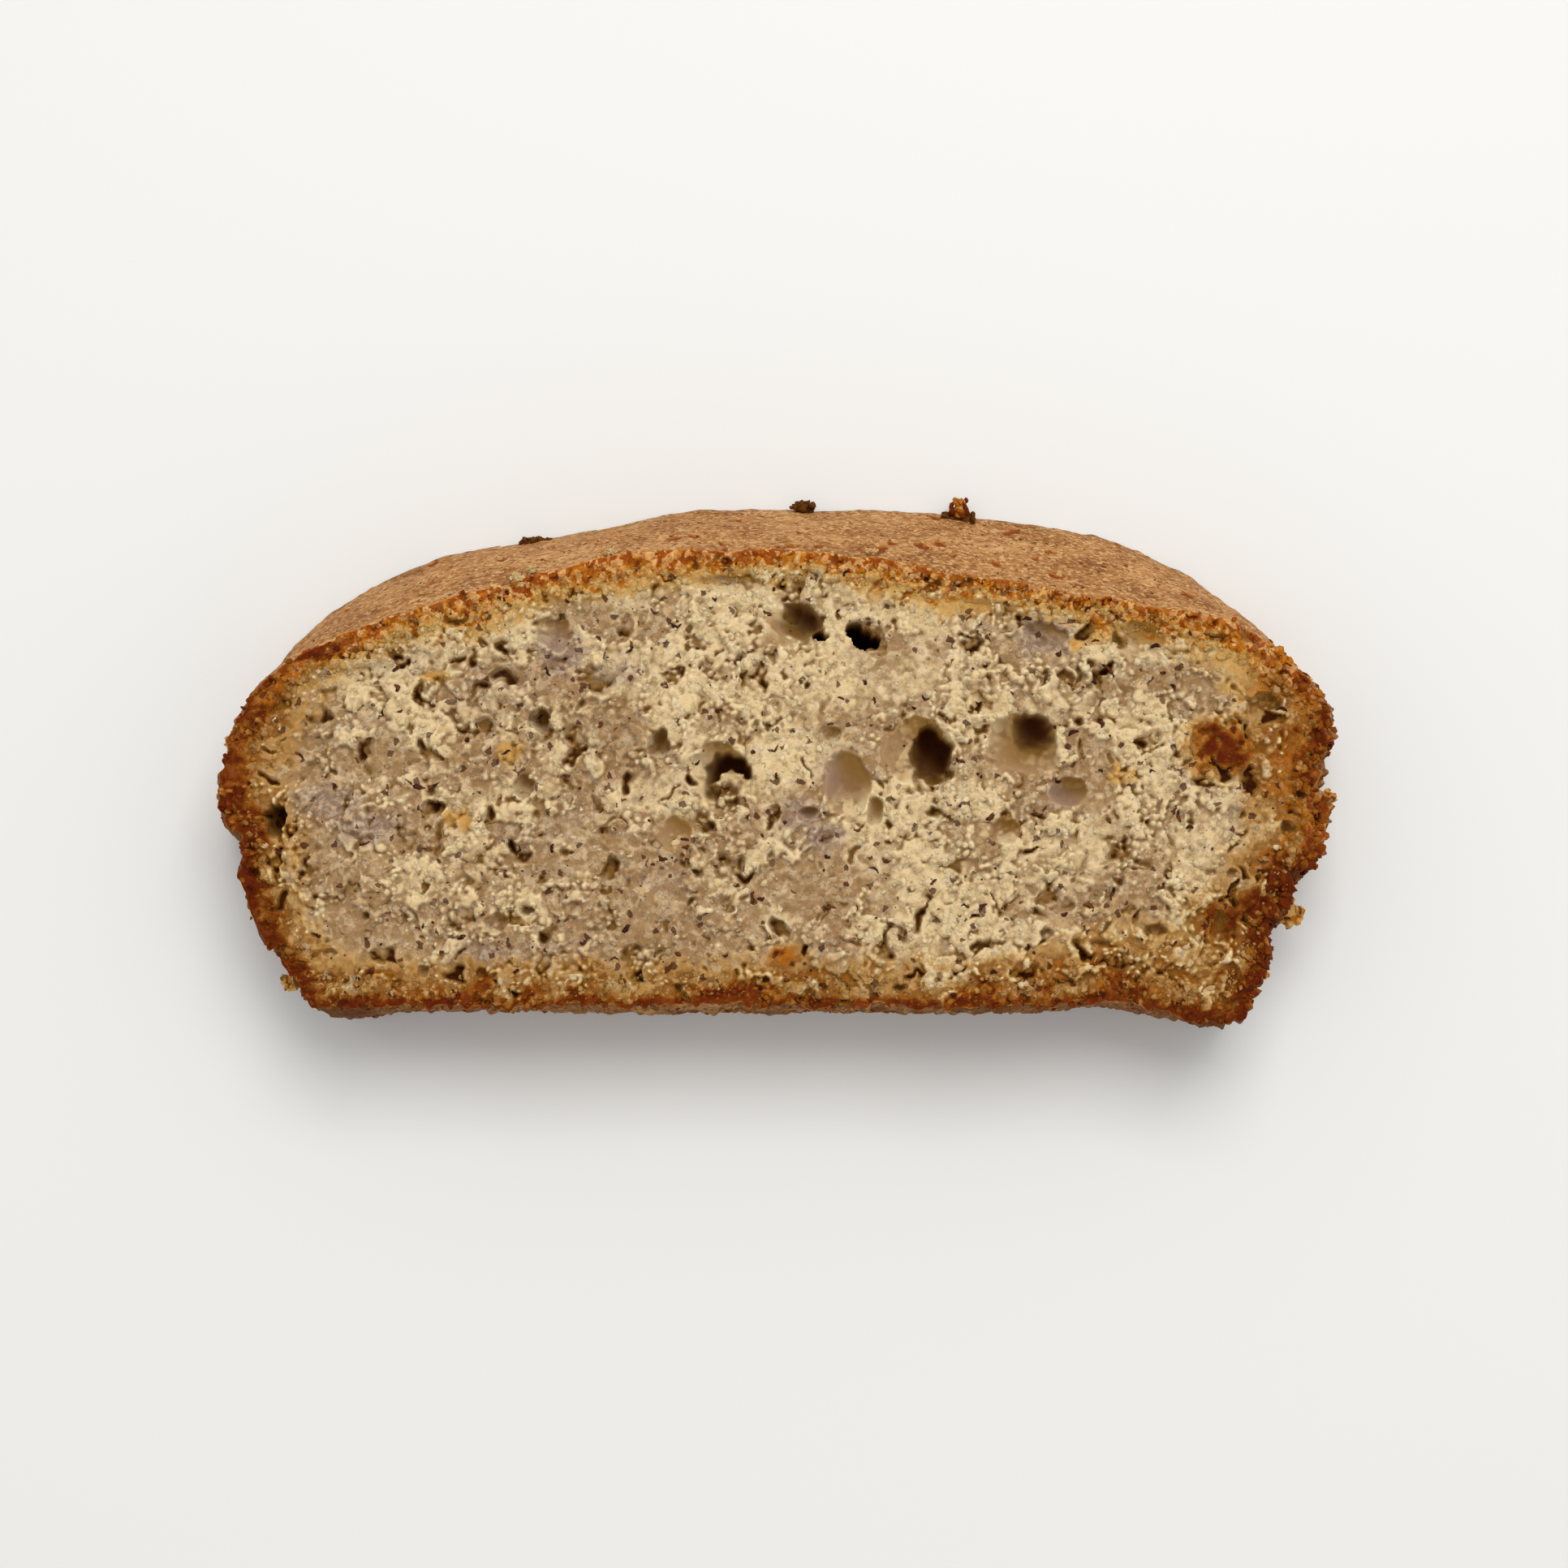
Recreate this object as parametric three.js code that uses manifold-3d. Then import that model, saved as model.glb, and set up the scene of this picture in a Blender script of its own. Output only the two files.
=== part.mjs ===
// A slice of banana bread, lying on one cut face as it would on a plate.
//
// Millimetres, +Z up. X runs across the loaf and Y from its flat base crust (-Y) to its domed
// top crust (+Y). The lower cut face lies on z = 0. The slice comes from near the loaf's end,
// where the dome falls away, so its lower face reaches further out under the dome than its
// upper face does, and the browned skin of the dome slopes down between them.
//
// The body is a box of small facets. Every facet corner is carried to a place on the slice:
// the two cut faces are patches stretched between four rim curves (base, dome, two flanks),
// and the crust runs straight from the lower rim to the upper one. Crumb relief, torn stretches
// of crust and uneven edges move the corners a little. Air pockets are then cut out of the
// body, and crumbs and flakes are fused on.

import * as THREE from "three";
import { mergeVertices } from "three/addons/utils/BufferGeometryUtils.js";
import Module from "manifold-3d";

// ---------------------------------------------------------------- driving dimensions, mm

const THICKNESS = 20; // a hand-cut slice
const WIDEST_Y = -2; // how high the loaf is widest
const BASE_Y = -28.5; // the flat base crust
const BASE_CORNER = { x: 54.6, y: -26.9 }; // where the rounded base corner turns into the flank
const BASE_TURN_X = 52.8; // where the base would meet the flank if its corner were sharp
const BASE_FLAT_HALF = 49; // half of the flat stretch of the base
const FLANK_HANDLES = { lean: 3, lowY: -22.3, highY: -11 }; // how the flank leans out as it rises
const SHOULDER_ANGLE = THREE.MathUtils.degToRad(33); // where the flank ends and the dome begins
const CRUST_BELLY = 0.4; // how far the crust bows out between the faces
const MIDDLE = new THREE.Vector2(0.1, 1.75); // what the slice is centred on in X and Y

// The dome of each face is half of a squared-off ellipse. Powers of 2 make a true ellipse, and
// higher ones fill out the shoulders. The crown sits a little to the right of the middle.
const DOMES = {
  lower: { halfWidth: 65.6, height: 34.4, crownShift: 1.2, acrossPower: 2.33, risePower: 2.4 },
  upper: { halfWidth: 64.4, height: 26.2, crownShift: 2.3, acrossPower: 1.6, risePower: 2.7 },
};

// Facets across the loaf, from base to dome, and up the crust.
const FACETS = { across: 51, rise: 24, up: 6 };
const EDGE_POWER = 12; // how sharply the crust's unevenness fades out towards the middle of a face

// Relief of the cut faces: height of each size of lump, and where in the noise each face is taken.
const CRUMB_RELIEF = [
  { size: 9, height: 0.7 },
  { size: 4.4, height: 1.0 },
];
const RELIEF_LAYER = { lower: 8.5, upper: 3.5 };
const FACET_JITTER = 0.32; // sideways scatter of the crumb facets
const LOWER_DENT = 0.9; // how deep the pores are pressed into the face that the slice lies on
const REST_RADIUS = 7; // a disc of the lower face that stays flat
const RIM_UNEVENNESS = 0.55; // how far the crust wanders in and out
const CRUMBLED_UNEVENNESS = 1.1; // the same at the crumbled right-hand end
const CRUMBLED_FROM = 50; // x where the crumbled end begins

// Where the rim leaves its smooth curve: centre, radius, and how far it is pushed out (+) or in (-)
// on the lower rim and on the upper rim.
const RIM_FEATURES = [
  { what: "full right shoulder", x: 54, y: 14.5, radius: 7, lower: 0, upper: 1.5 },
  { what: "long right side of the dome", x: 30, y: 22, radius: 17, lower: 0, upper: -1.2 },
  { what: "high left side of the dome", x: -16, y: 24, radius: 12, lower: 0, upper: 1.3 },
  { what: "broad right side of the dome", x: 42, y: 26, radius: 14, lower: 1.2, upper: 0 },
  { what: "slack left side of the dome", x: -27, y: 29, radius: 10, lower: -1.3, upper: 0 },
  { what: "slack lower left shoulder", x: -64, y: 6, radius: 6, lower: -1.1, upper: -0.4 },
  { what: "slack lower right shoulder", x: 60, y: 15, radius: 6, lower: -1.1, upper: 0 },
  { what: "left flank above its step", x: -64.5, y: -5.5, radius: 3, lower: 0.6, upper: 0.8 },
  { what: "left flank below its step", x: -63, y: -10.5, radius: 2.5, lower: -0.5, upper: -1.0 },
  { what: "left base corner", x: -51, y: -28, radius: 4, lower: 0.5, upper: 0.7 },
  { what: "swollen right base corner", x: 51, y: -28.5, radius: 5.5, lower: 1.2, upper: 2.0 },
  { what: "hollow before that corner", x: 38.5, y: -28.5, radius: 4, lower: -0.7, upper: -0.7 },
  { what: "left flank low down", x: -59, y: -20, radius: 8, lower: 0.5, upper: 1.0 },
  { what: "lean right flank", x: 58.6, y: -19, radius: 5, lower: -1.2, upper: -1.5 },
];

// Chips broken out of the crust at the upper rim: centre, radius, and how far down they reach.
const CRUST_CHIPS = [
  { x: 64.7, y: -2.3, radius: 2.2, reach: 17 },
  { x: 66.0, y: 0.6, radius: 2.1, reach: 14 },
  { x: 63.0, y: -14.8, radius: 2.3, reach: 15 },
  { x: 59.0, y: -21.6, radius: 1.9, reach: 11 },
  { x: 57.9, y: -25.0, radius: 1.7, reach: 14 },
  { x: -64.9, y: -9.4, radius: 1.9, reach: 15 },
];

// Air pockets in the upper cut face: centre, half-widths in X and Y, depth.
const AIR_POCKETS = [
  { x: -6.4, y: -1.9, across: 3.4, along: 3.5, depth: 5.0 },
  { x: 7.7, y: -1.9, across: 3.1, along: 4.0, depth: 1.9 },
  { x: 15.6, y: 1.2, across: 3.6, along: 4.2, depth: 2.2 },
  { x: 17.9, y: 0.8, across: 2.4, along: 3.5, depth: 9.0 },
  { x: 28.5, y: 1.8, across: 4.0, along: 3.7, depth: 2.8 },
  { x: 29.8, y: 2.8, across: 2.2, along: 2.2, depth: 6.0 },
  { x: 26.2, y: -8.2, across: 2.0, along: 1.7, depth: 2.2 },
  { x: 2.2, y: 16.4, across: 3.3, along: 2.9, depth: 5.0 },
  { x: -13.7, y: 1.7, across: 1.3, along: 1.9, depth: 3.0 },
  { x: 6.0, y: 3.0, across: 1.5, along: 1.3, depth: 2.2 },
  { x: -27.6, y: 4.4, across: 1.4, along: 1.5, depth: 2.6 },
  { x: -29.4, y: -3.1, across: 1.3, along: 1.5, depth: 2.0 },
  { x: -11.8, y: -8.9, across: 2.0, along: 2.1, depth: 1.3 },
  { x: 33.8, y: -3.8, across: 2.0, along: 1.7, depth: 1.5 },
  { x: 11.0, y: -5.9, across: 1.6, along: 1.9, depth: 1.9 },
  { x: 42.0, y: 14.0, across: 3.3, along: 2.1, depth: 1.9 },
  { x: -58.4, y: -7.2, across: 1.5, along: 2.0, depth: 2.6 },
  { x: 56.2, y: 6.4, across: 2.1, along: 1.7, depth: 2.2 },
  { x: 51.2, y: -19.6, across: 1.4, along: 2.0, depth: 2.2 },
  { x: -25.9, y: 14.6, across: 2.1, along: 2.0, depth: 1.5 },
  { x: 31.0, y: 14.2, across: 2.8, along: 1.8, depth: 1.8 },
  { x: -32.6, y: -19.0, across: 1.4, along: 1.2, depth: 1.9 },
];

// Tunnels that go right through the slice: centre and radius at the upper face, drift to the lower face.
const TUNNELS = [
  { x: 10.3, y: 13.9, radius: 1.5, driftX: 1.6, driftY: 2.2 },
  { x: 4.6, y: 14.6, radius: 1.0, driftX: 0.8, driftY: 1.4 },
];

// Burnt crumbs and flakes stuck on the crust: which rim curve, the share of its length (from the
// left, or from the base up), the height above the lower face, how far its centre stands off the
// crust, and half-sizes in X, Y and Z.
const STUCK_CRUMBS = [
  { on: "dome", along: 0.53, z: 1.7, off: 0.7, sizes: [1.6, 1.4, 1.3] },
  { on: "dome", along: 0.705, z: 1.5, off: 0.5, sizes: [2.6, 1.6, 1.3] },
  { on: "dome", along: 0.705, z: 2.0, off: 1.9, sizes: [1.5, 1.4, 1.4] },
  { on: "dome", along: 0.17, z: 1.5, off: 0.3, sizes: [1.7, 1.2, 1.2] },
  { on: "left", along: 0.62, z: 17.4, off: 0, sizes: [1.1, 1.1, 1.0] },
  { on: "left", along: 0.06, z: 15.0, off: 0.6, sizes: [2.3, 1.3, 1.3] },
  { on: "right", along: 0.21, z: 13.5, off: 0.8, sizes: [2.4, 2.1, 1.6] },
  { on: "right", along: 0.06, z: 17.2, off: 0, sizes: [1.3, 1.1, 1.1] },
  { on: "right", along: 0.5, z: 17.6, off: 0.3, sizes: [1.4, 1.4, 1.3] },
];

// Coarse crumbs raised from the upper face by the knife.
const CRUMB_LUMPS = { count: 30, smallest: 1.2, largest: 2.2, seed: 11 };

// ---------------------------------------------------------------- repeatable unevenness

// A repeatable number from 0 to 1 for each point of a whole-number lattice.
function latticeValue(i, j, k) {
  const mixed = Math.sin(i * 127.1 + j * 311.7 + k * 74.7) * 43758.5453;
  return mixed - Math.floor(mixed);
}

const ease = (t) => t * t * (3 - 2 * t);

// Smooth noise from -1 to 1: lattice values blended over the cell that holds the point.
function noise(x, y, z) {
  const [i, j, k] = [x, y, z].map(Math.floor);
  const [u, v, w] = [ease(x - i), ease(y - j), ease(z - k)];
  let sum = 0;
  for (const [di, dj, dk] of CELL_CORNERS) {
    const weight = (di ? u : 1 - u) * (dj ? v : 1 - v) * (dk ? w : 1 - w);
    sum += weight * latticeValue(i + di, j + dj, k + dk);
  }
  return 2 * sum - 1;
}
const CELL_CORNERS = [0, 1].flatMap((i) => [0, 1].flatMap((j) => [0, 1].map((k) => [i, j, k])));

// ---------------------------------------------------------------- rims

// Part of a dome, from one angle to another, counted at the loaf's middle from the right.
class DomeCurve extends THREE.Curve {
  constructor(dome, from, to) {
    super();
    this.dome = dome;
    this.from = from;
    this.to = to;
  }

  getPoint(t) {
    const angle = THREE.MathUtils.lerp(this.from, this.to, t);
    const sideways = Math.cos(angle);
    const across = Math.sign(sideways) * Math.abs(sideways) ** (2 / this.dome.acrossPower);
    const rise = Math.abs(Math.sin(angle)) ** (2 / this.dome.risePower);
    return new THREE.Vector2(
      this.dome.halfWidth * across + this.dome.crownShift * rise,
      WIDEST_Y + this.dome.height * rise
    );
  }
}

// One flank from the base corner up to the shoulder: a curve that leans out to the widest line,
// then the start of the dome. side is -1 for left and 1 for right.
function flankCurve(side, dome) {
  const flank = new THREE.CurvePath();
  flank.add(
    new THREE.CubicBezierCurve(
      new THREE.Vector2(side * BASE_CORNER.x, BASE_CORNER.y),
      new THREE.Vector2(side * (BASE_CORNER.x + FLANK_HANDLES.lean), FLANK_HANDLES.lowY),
      new THREE.Vector2(side * dome.halfWidth, FLANK_HANDLES.highY),
      new THREE.Vector2(side * dome.halfWidth, WIDEST_Y)
    )
  );
  const start = side > 0 ? 0 : Math.PI;
  flank.add(new DomeCurve(dome, start, start + side * SHOULDER_ANGLE));
  return flank;
}

// The base from left to right: a rounded corner, the flat stretch, a rounded corner.
function baseCurve() {
  const base = new THREE.CurvePath();
  const corner = (side) => new THREE.Vector2(side * BASE_CORNER.x, BASE_CORNER.y);
  const turn = (side) => new THREE.Vector2(side * BASE_TURN_X, BASE_Y);
  const flatEnd = (side) => new THREE.Vector2(side * BASE_FLAT_HALF, BASE_Y);
  base.add(new THREE.QuadraticBezierCurve(corner(-1), turn(-1), flatEnd(-1)));
  base.add(new THREE.LineCurve(flatEnd(-1), flatEnd(1)));
  base.add(new THREE.QuadraticBezierCurve(flatEnd(1), turn(1), corner(1)));
  return base;
}

// The four rim curves of a cut face, base and dome from left to right, flanks from the base up.
function faceRim(dome) {
  return {
    base: baseCurve(),
    dome: new DomeCurve(dome, Math.PI - SHOULDER_ANGLE, SHOULDER_ANGLE),
    left: flankCurve(-1, dome),
    right: flankCurve(1, dome),
  };
}

const rims = { lower: faceRim(DOMES.lower), upper: faceRim(DOMES.upper) };

// The point at u, v (0 to 1 each) of the patch stretched between four rim curves: the two blends
// of opposite curves, less the blend of the four corners that both of them hold.
function patchPoint(rim, u, v) {
  const mix = (a, b, t) => new THREE.Vector2().lerpVectors(a, b, t);
  const upward = mix(rim.base.getPointAt(u), rim.dome.getPointAt(u), v);
  const across = mix(rim.left.getPointAt(v), rim.right.getPointAt(v), u);
  const corners = mix(
    mix(rim.base.getPointAt(0), rim.base.getPointAt(1), u),
    mix(rim.dome.getPointAt(0), rim.dome.getPointAt(1), u),
    v
  );
  return upward.add(across).sub(corners);
}

// The outward direction at a point of the rim: that of a rounded rectangle around the slice.
function outward(point) {
  const { halfWidth, height } = DOMES.upper;
  return new THREE.Vector2(
    (point.x / halfWidth) ** 3 / halfWidth,
    (point.y / height) ** 3 / height
  ).normalize();
}

// How far the crust is pushed out at a point of it: named features, then noise of two sizes.
function crustPush(point, level) {
  let push = 0;
  for (const feature of RIM_FEATURES) {
    const away = Math.hypot(point.x - feature.x, point.y - feature.y) / feature.radius;
    push += Math.exp(-away * away) * THREE.MathUtils.lerp(feature.lower, feature.upper, level);
  }
  const crumbled = THREE.MathUtils.smoothstep(point.x, CRUMBLED_FROM, CRUMBLED_FROM + 8);
  const unevenness = THREE.MathUtils.lerp(RIM_UNEVENNESS, CRUMBLED_UNEVENNESS, crumbled);
  const wander = noise(point.x / 7, point.y / 7, level * 2);
  const tear = noise(point.x / 2.6 + 40, point.y / 2.6, level * 3);
  return push + unevenness * (0.6 * wander + 0.4 * tear);
}

// ---------------------------------------------------------------- the body

// Height of the crumb relief over a cut face at a point.
function crumbHeight(x, y, layer) {
  return CRUMB_RELIEF.reduce(
    (height, lump) => height + lump.height * 0.5 * noise(x / lump.size, y / lump.size, layer),
    0
  );
}

// Carries a corner of the faceted box to the slice. a, b and c run from -1 to 1 across the loaf,
// from base to dome, and from the lower to the upper face.
function slicePoint(a, b, c) {
  const u = (a + 1) / 2;
  const v = (b + 1) / 2;
  const level = (c + 1) / 2;
  const place = new THREE.Vector2().lerpVectors(
    patchPoint(rims.lower, u, v),
    patchPoint(rims.upper, u, v),
    level
  );
  const edge = Math.max(Math.abs(a), Math.abs(b)) ** EDGE_POWER;
  const belly = CRUST_BELLY * 4 * level * (1 - level);
  place.addScaledVector(outward(place), edge * (belly + crustPush(place, level)));

  const onUpper = c > 0.999;
  const onLower = c < -0.999;
  const layer = onUpper ? RELIEF_LAYER.upper : RELIEF_LAYER.lower;
  if ((onUpper || onLower) && edge < 0.999) {
    place.x += FACET_JITTER * noise(place.x * 1.7, place.y * 1.7, layer + 20);
    place.y += FACET_JITTER * noise(place.x * 1.7, place.y * 1.7, layer + 30);
  }
  let z = level * THICKNESS;
  if (onUpper) z += crumbHeight(place.x, place.y, layer);
  if (onLower && place.length() > REST_RADIUS) {
    z += LOWER_DENT * Math.max(0, 2 * crumbHeight(place.x, place.y, layer) - 0.1);
  }
  return new THREE.Vector3(place.x, place.y, z);
}

function sliceBodyGeometry() {
  const box = new THREE.BoxGeometry(2, 2, 2, FACETS.across, FACETS.rise, FACETS.up);
  const corners = box.getAttribute("position");
  for (let i = 0; i < corners.count; i++) {
    const placed = slicePoint(corners.getX(i), corners.getY(i), corners.getZ(i));
    corners.setXYZ(i, placed.x, placed.y, placed.z);
  }
  return box;
}

// ---------------------------------------------------------------- pockets, chips and crumbs

// A faceted ball with uneven corners, stretched to half-sizes and put in place.
function craggyBall(place, sizes, detail, roughness) {
  const ball = new THREE.IcosahedronGeometry(1, detail);
  const corners = ball.getAttribute("position");
  const corner = new THREE.Vector3();
  for (let i = 0; i < corners.count; i++) {
    corner.fromBufferAttribute(corners, i);
    const swell = 1 + roughness * noise(corner.x * 2 + place.x, corner.y * 2 + place.y, corner.z * 2);
    corners.setXYZ(i, corner.x * swell, corner.y * swell, corner.z * swell);
  }
  return ball.scale(sizes[0], sizes[1], sizes[2]).translate(place.x, place.y, place.z);
}

// An air pocket: the lower half of a ball with its middle just above the cut face.
function pocketGeometry(pocket) {
  const place = new THREE.Vector3(pocket.x, pocket.y, THICKNESS + 0.3);
  const detail = pocket.across > 2.1 ? 2 : 1;
  return craggyBall(place, [pocket.across, pocket.along, pocket.depth + 0.3], detail, 0.08);
}

// A tunnel: an uneven seven-sided tube that drifts sideways on its way down through the slice.
function tunnelGeometry(tunnel) {
  const reach = THICKNESS + 6; // it starts and ends 3 mm clear of the faces
  const tube = new THREE.CylinderGeometry(tunnel.radius, tunnel.radius * 1.2, reach, 7, 3);
  tube.rotateX(Math.PI / 2);
  const corners = tube.getAttribute("position");
  for (let i = 0; i < corners.count; i++) {
    const [x, y, z] = [corners.getX(i), corners.getY(i), corners.getZ(i)];
    const down = 0.5 - z / reach;
    const swell = 1 + 0.2 * noise(x * 2, y * 2, z + tunnel.x);
    corners.setXYZ(
      i,
      tunnel.x + x * swell + tunnel.driftX * down,
      tunnel.y + y * swell + tunnel.driftY * down,
      THICKNESS / 2 + z
    );
  }
  return tube;
}

// A chip broken from the crust: a rough hollow, deepest at the upper rim.
function chipGeometry(chip) {
  const place = new THREE.Vector3(chip.x, chip.y, THICKNESS + 1);
  return craggyBall(place, [chip.radius, chip.radius, chip.reach + 1], 1, 0.3);
}

// Coarse crumbs, scattered over the upper face clear of the pockets, by a seeded draw.
function crumbLumps() {
  THREE.MathUtils.seededRandom(CRUMB_LUMPS.seed);
  const draw = (low, high) => THREE.MathUtils.lerp(low, high, THREE.MathUtils.seededRandom());
  const clearOf = (x, y, reach) =>
    [...AIR_POCKETS, ...TUNNELS].every(
      (hole) => Math.hypot(x - hole.x, y - hole.y) > reach + (hole.across ?? hole.radius)
    );
  const lumps = [];
  while (lumps.length < CRUMB_LUMPS.count) {
    const radius = draw(CRUMB_LUMPS.smallest, CRUMB_LUMPS.largest);
    const angle = draw(0, 2 * Math.PI);
    const share = Math.sqrt(draw(0, 0.8));
    const x = share * DOMES.upper.halfWidth * Math.cos(angle);
    const y = share * DOMES.upper.height * Math.sin(angle) - 2.5;
    if (!clearOf(x, y, radius)) continue;
    const top = THICKNESS + crumbHeight(x, y, RELIEF_LAYER.upper);
    const place = new THREE.Vector3(x, y, top - radius * 0.35);
    lumps.push(craggyBall(place, [radius, radius * draw(0.7, 1), radius * 0.62], 0, 0.35));
  }
  return lumps;
}

// A crumb stuck on the crust, at its place on one of the rim curves.
function stuckCrumb(crumb) {
  const share = 2 * crumb.along - 1;
  const up = 2 * (crumb.z / THICKNESS) - 1;
  const boxPlace = { dome: [share, 1, up], left: [-1, share, up], right: [1, share, up] };
  const place = slicePoint(...boxPlace[crumb.on]);
  const away = outward(place).multiplyScalar(crumb.off);
  place.add(new THREE.Vector3(away.x, away.y, 0));
  return craggyBall(place, crumb.sizes, 1, 0.35);
}

// ---------------------------------------------------------------- joining and cutting

const wasm = await Module();
wasm.setup();

function solidOf(geometry) {
  const bare = geometry.clone();
  bare.deleteAttribute("normal");
  bare.deleteAttribute("uv");
  const merged = mergeVertices(bare, 1e-4);
  return new wasm.Manifold(
    new wasm.Mesh({
      numProp: 3,
      vertProperties: new Float32Array(merged.attributes.position.array),
      triVerts: new Uint32Array(merged.index.array),
    })
  );
}

function geometryOf(solid) {
  const mesh = solid.getMesh();
  const geometry = new THREE.BufferGeometry();
  geometry.setAttribute("position", new THREE.BufferAttribute(mesh.vertProperties, 3));
  geometry.setIndex(new THREE.BufferAttribute(mesh.triVerts, 1));
  return geometry;
}

// Crumbs are fused on first, so that no crumb closes a pocket that is cut after it.
function breadGeometry() {
  let bread = solidOf(sliceBodyGeometry());
  for (const crumb of [...crumbLumps(), ...STUCK_CRUMBS.map(stuckCrumb)]) {
    bread = bread.add(solidOf(crumb));
  }
  const cuts = [
    ...AIR_POCKETS.map(pocketGeometry),
    ...TUNNELS.map(tunnelGeometry),
    ...CRUST_CHIPS.map(chipGeometry),
  ];
  for (const cut of cuts) bread = bread.subtract(solidOf(cut));
  return geometryOf(bread).translate(-MIDDLE.x, -MIDDLE.y, 0);
}

// ---------------------------------------------------------------- the model

function makeSlice() {
  const crumb = new THREE.MeshStandardMaterial({ color: "#b49469", roughness: 0.92, metalness: 0 });
  const slice = new THREE.Mesh(breadGeometry(), crumb);
  slice.name = "bread_slice";
  return slice;
}

const bananaBread = new THREE.Group();
bananaBread.add(makeSlice());

export default bananaBread;
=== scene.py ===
"""A slice of banana bread lying on one cut face, seen from almost straight above.

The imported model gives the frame: metres, +Z up, X across the loaf, Y from its flat base crust
(-Y) to its domed top crust (+Y). Sizes below are millimetres, in the loaf's own frame, whose
origin is a little off the slice's middle, and become metres when a mesh is made.

Each cut face is worked out once, as maps of its relief and its tints, which every piece on it
reads. The crumb is three closed blocks that overlap at their seams, cut from one grid that is
stretched between four rim curves. The crust is a closed band: a section carried round the
outline, with the baked skin outside and the browned edge of both cut faces. Loose crumbs, banana
strands and burnt crumbs are scattered on them, as joined meshes of small shapes.

The last number given to a noise, to cells or to pits picks which of many like patterns it is.
"""

import math

import bpy
import numpy as np
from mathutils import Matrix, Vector


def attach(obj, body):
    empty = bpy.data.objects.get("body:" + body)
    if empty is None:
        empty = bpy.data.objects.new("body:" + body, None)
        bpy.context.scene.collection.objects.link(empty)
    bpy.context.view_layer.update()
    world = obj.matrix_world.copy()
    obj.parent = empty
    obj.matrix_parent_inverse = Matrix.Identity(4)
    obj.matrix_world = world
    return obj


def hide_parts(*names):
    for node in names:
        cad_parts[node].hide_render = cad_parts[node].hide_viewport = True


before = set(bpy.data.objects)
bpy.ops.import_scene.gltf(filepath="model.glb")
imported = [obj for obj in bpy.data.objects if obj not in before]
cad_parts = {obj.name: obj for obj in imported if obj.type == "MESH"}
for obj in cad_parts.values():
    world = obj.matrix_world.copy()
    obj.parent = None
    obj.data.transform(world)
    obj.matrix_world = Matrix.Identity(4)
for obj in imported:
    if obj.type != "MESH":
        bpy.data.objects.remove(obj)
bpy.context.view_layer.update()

# ---- sizes, mm

MM = 0.001
THICKNESS = 20.0
WIDEST_Y = -2.0  # where the flanks bulge most
BASE_Y = -28.5
BASE_CORNER = np.array([54.6, -26.9])
BASE_TURN_X = 52.8  # the handle of the curve from the flat base to its corner
BASE_FLAT_HALF = 49.0
FLANK_LEAN = 3.0  # how far out the flank's first handle lies, and how high its two handles are
FLANK_HANDLE_Y = (-22.3, -11.0)
SHOULDER_ANGLE = math.radians(33)  # up to here the dome's curve belongs to the flank
CRUST_BELLY = 0.4  # how far the crust bulges at half its height
MIDDLE = np.array([0.1, 1.75, 0.0])  # of the slice, in the loaf's own frame

# The dome of each cut face: half of a squared-off ellipse, whose powers are across and rise.
LOWER_DOME = {"half_width": 65.6, "height": 34.4, "shift": 1.2, "across": 2.33, "rise": 2.4}
UPPER_DOME = {"half_width": 64.4, "height": 26.2, "shift": 2.3, "across": 1.6, "rise": 2.7}

# Where the rim leaves its smooth curve: x, y, radius, push out on the lower and the upper rim.
RIM_FEATURES = (
    (54, 14.5, 7, 0, 1.5),
    (30, 22, 17, 0, -1.2),
    (-16, 24, 12, 0, 1.3),
    (42, 26, 14, 1.2, 0),
    (-27, 29, 10, -1.3, 0),
    (-64, 6, 6, -1.1, -0.4),
    (60, 15, 6, -1.1, 0),
    (-64.5, -5.5, 3, 0.6, 0.8),
    (-63, -10.5, 2.5, -0.5, -1.0),
    (-51, -28, 4, 0.5, 0.7),
    (51, -28.5, 5.5, 1.2, 2.0),
    (38.5, -28.5, 4, -0.7, -0.7),
    (-59, -20, 8, 0.5, 1.0),
    (58.6, -19, 5, -1.2, -1.5),
)
RIM_UNEVENNESS = 0.55
CRUMBLED_UNEVENNESS = 1.1
CRUMBLED_X = (50.0, 58.0)  # the crust crumbles from the first of these on, fully past the second

# Chips broken out of the crust at the upper rim: x, y, radius, reach down.
CRUST_CHIPS = (
    (64.7, -2.3, 2.2, 17),
    (66.0, 0.6, 2.1, 14),
    (63.0, -14.8, 2.3, 15),
    (59.0, -21.6, 1.9, 11),
    (57.9, -25.0, 1.7, 14),
    (-64.9, -9.4, 1.9, 15),
)

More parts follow.
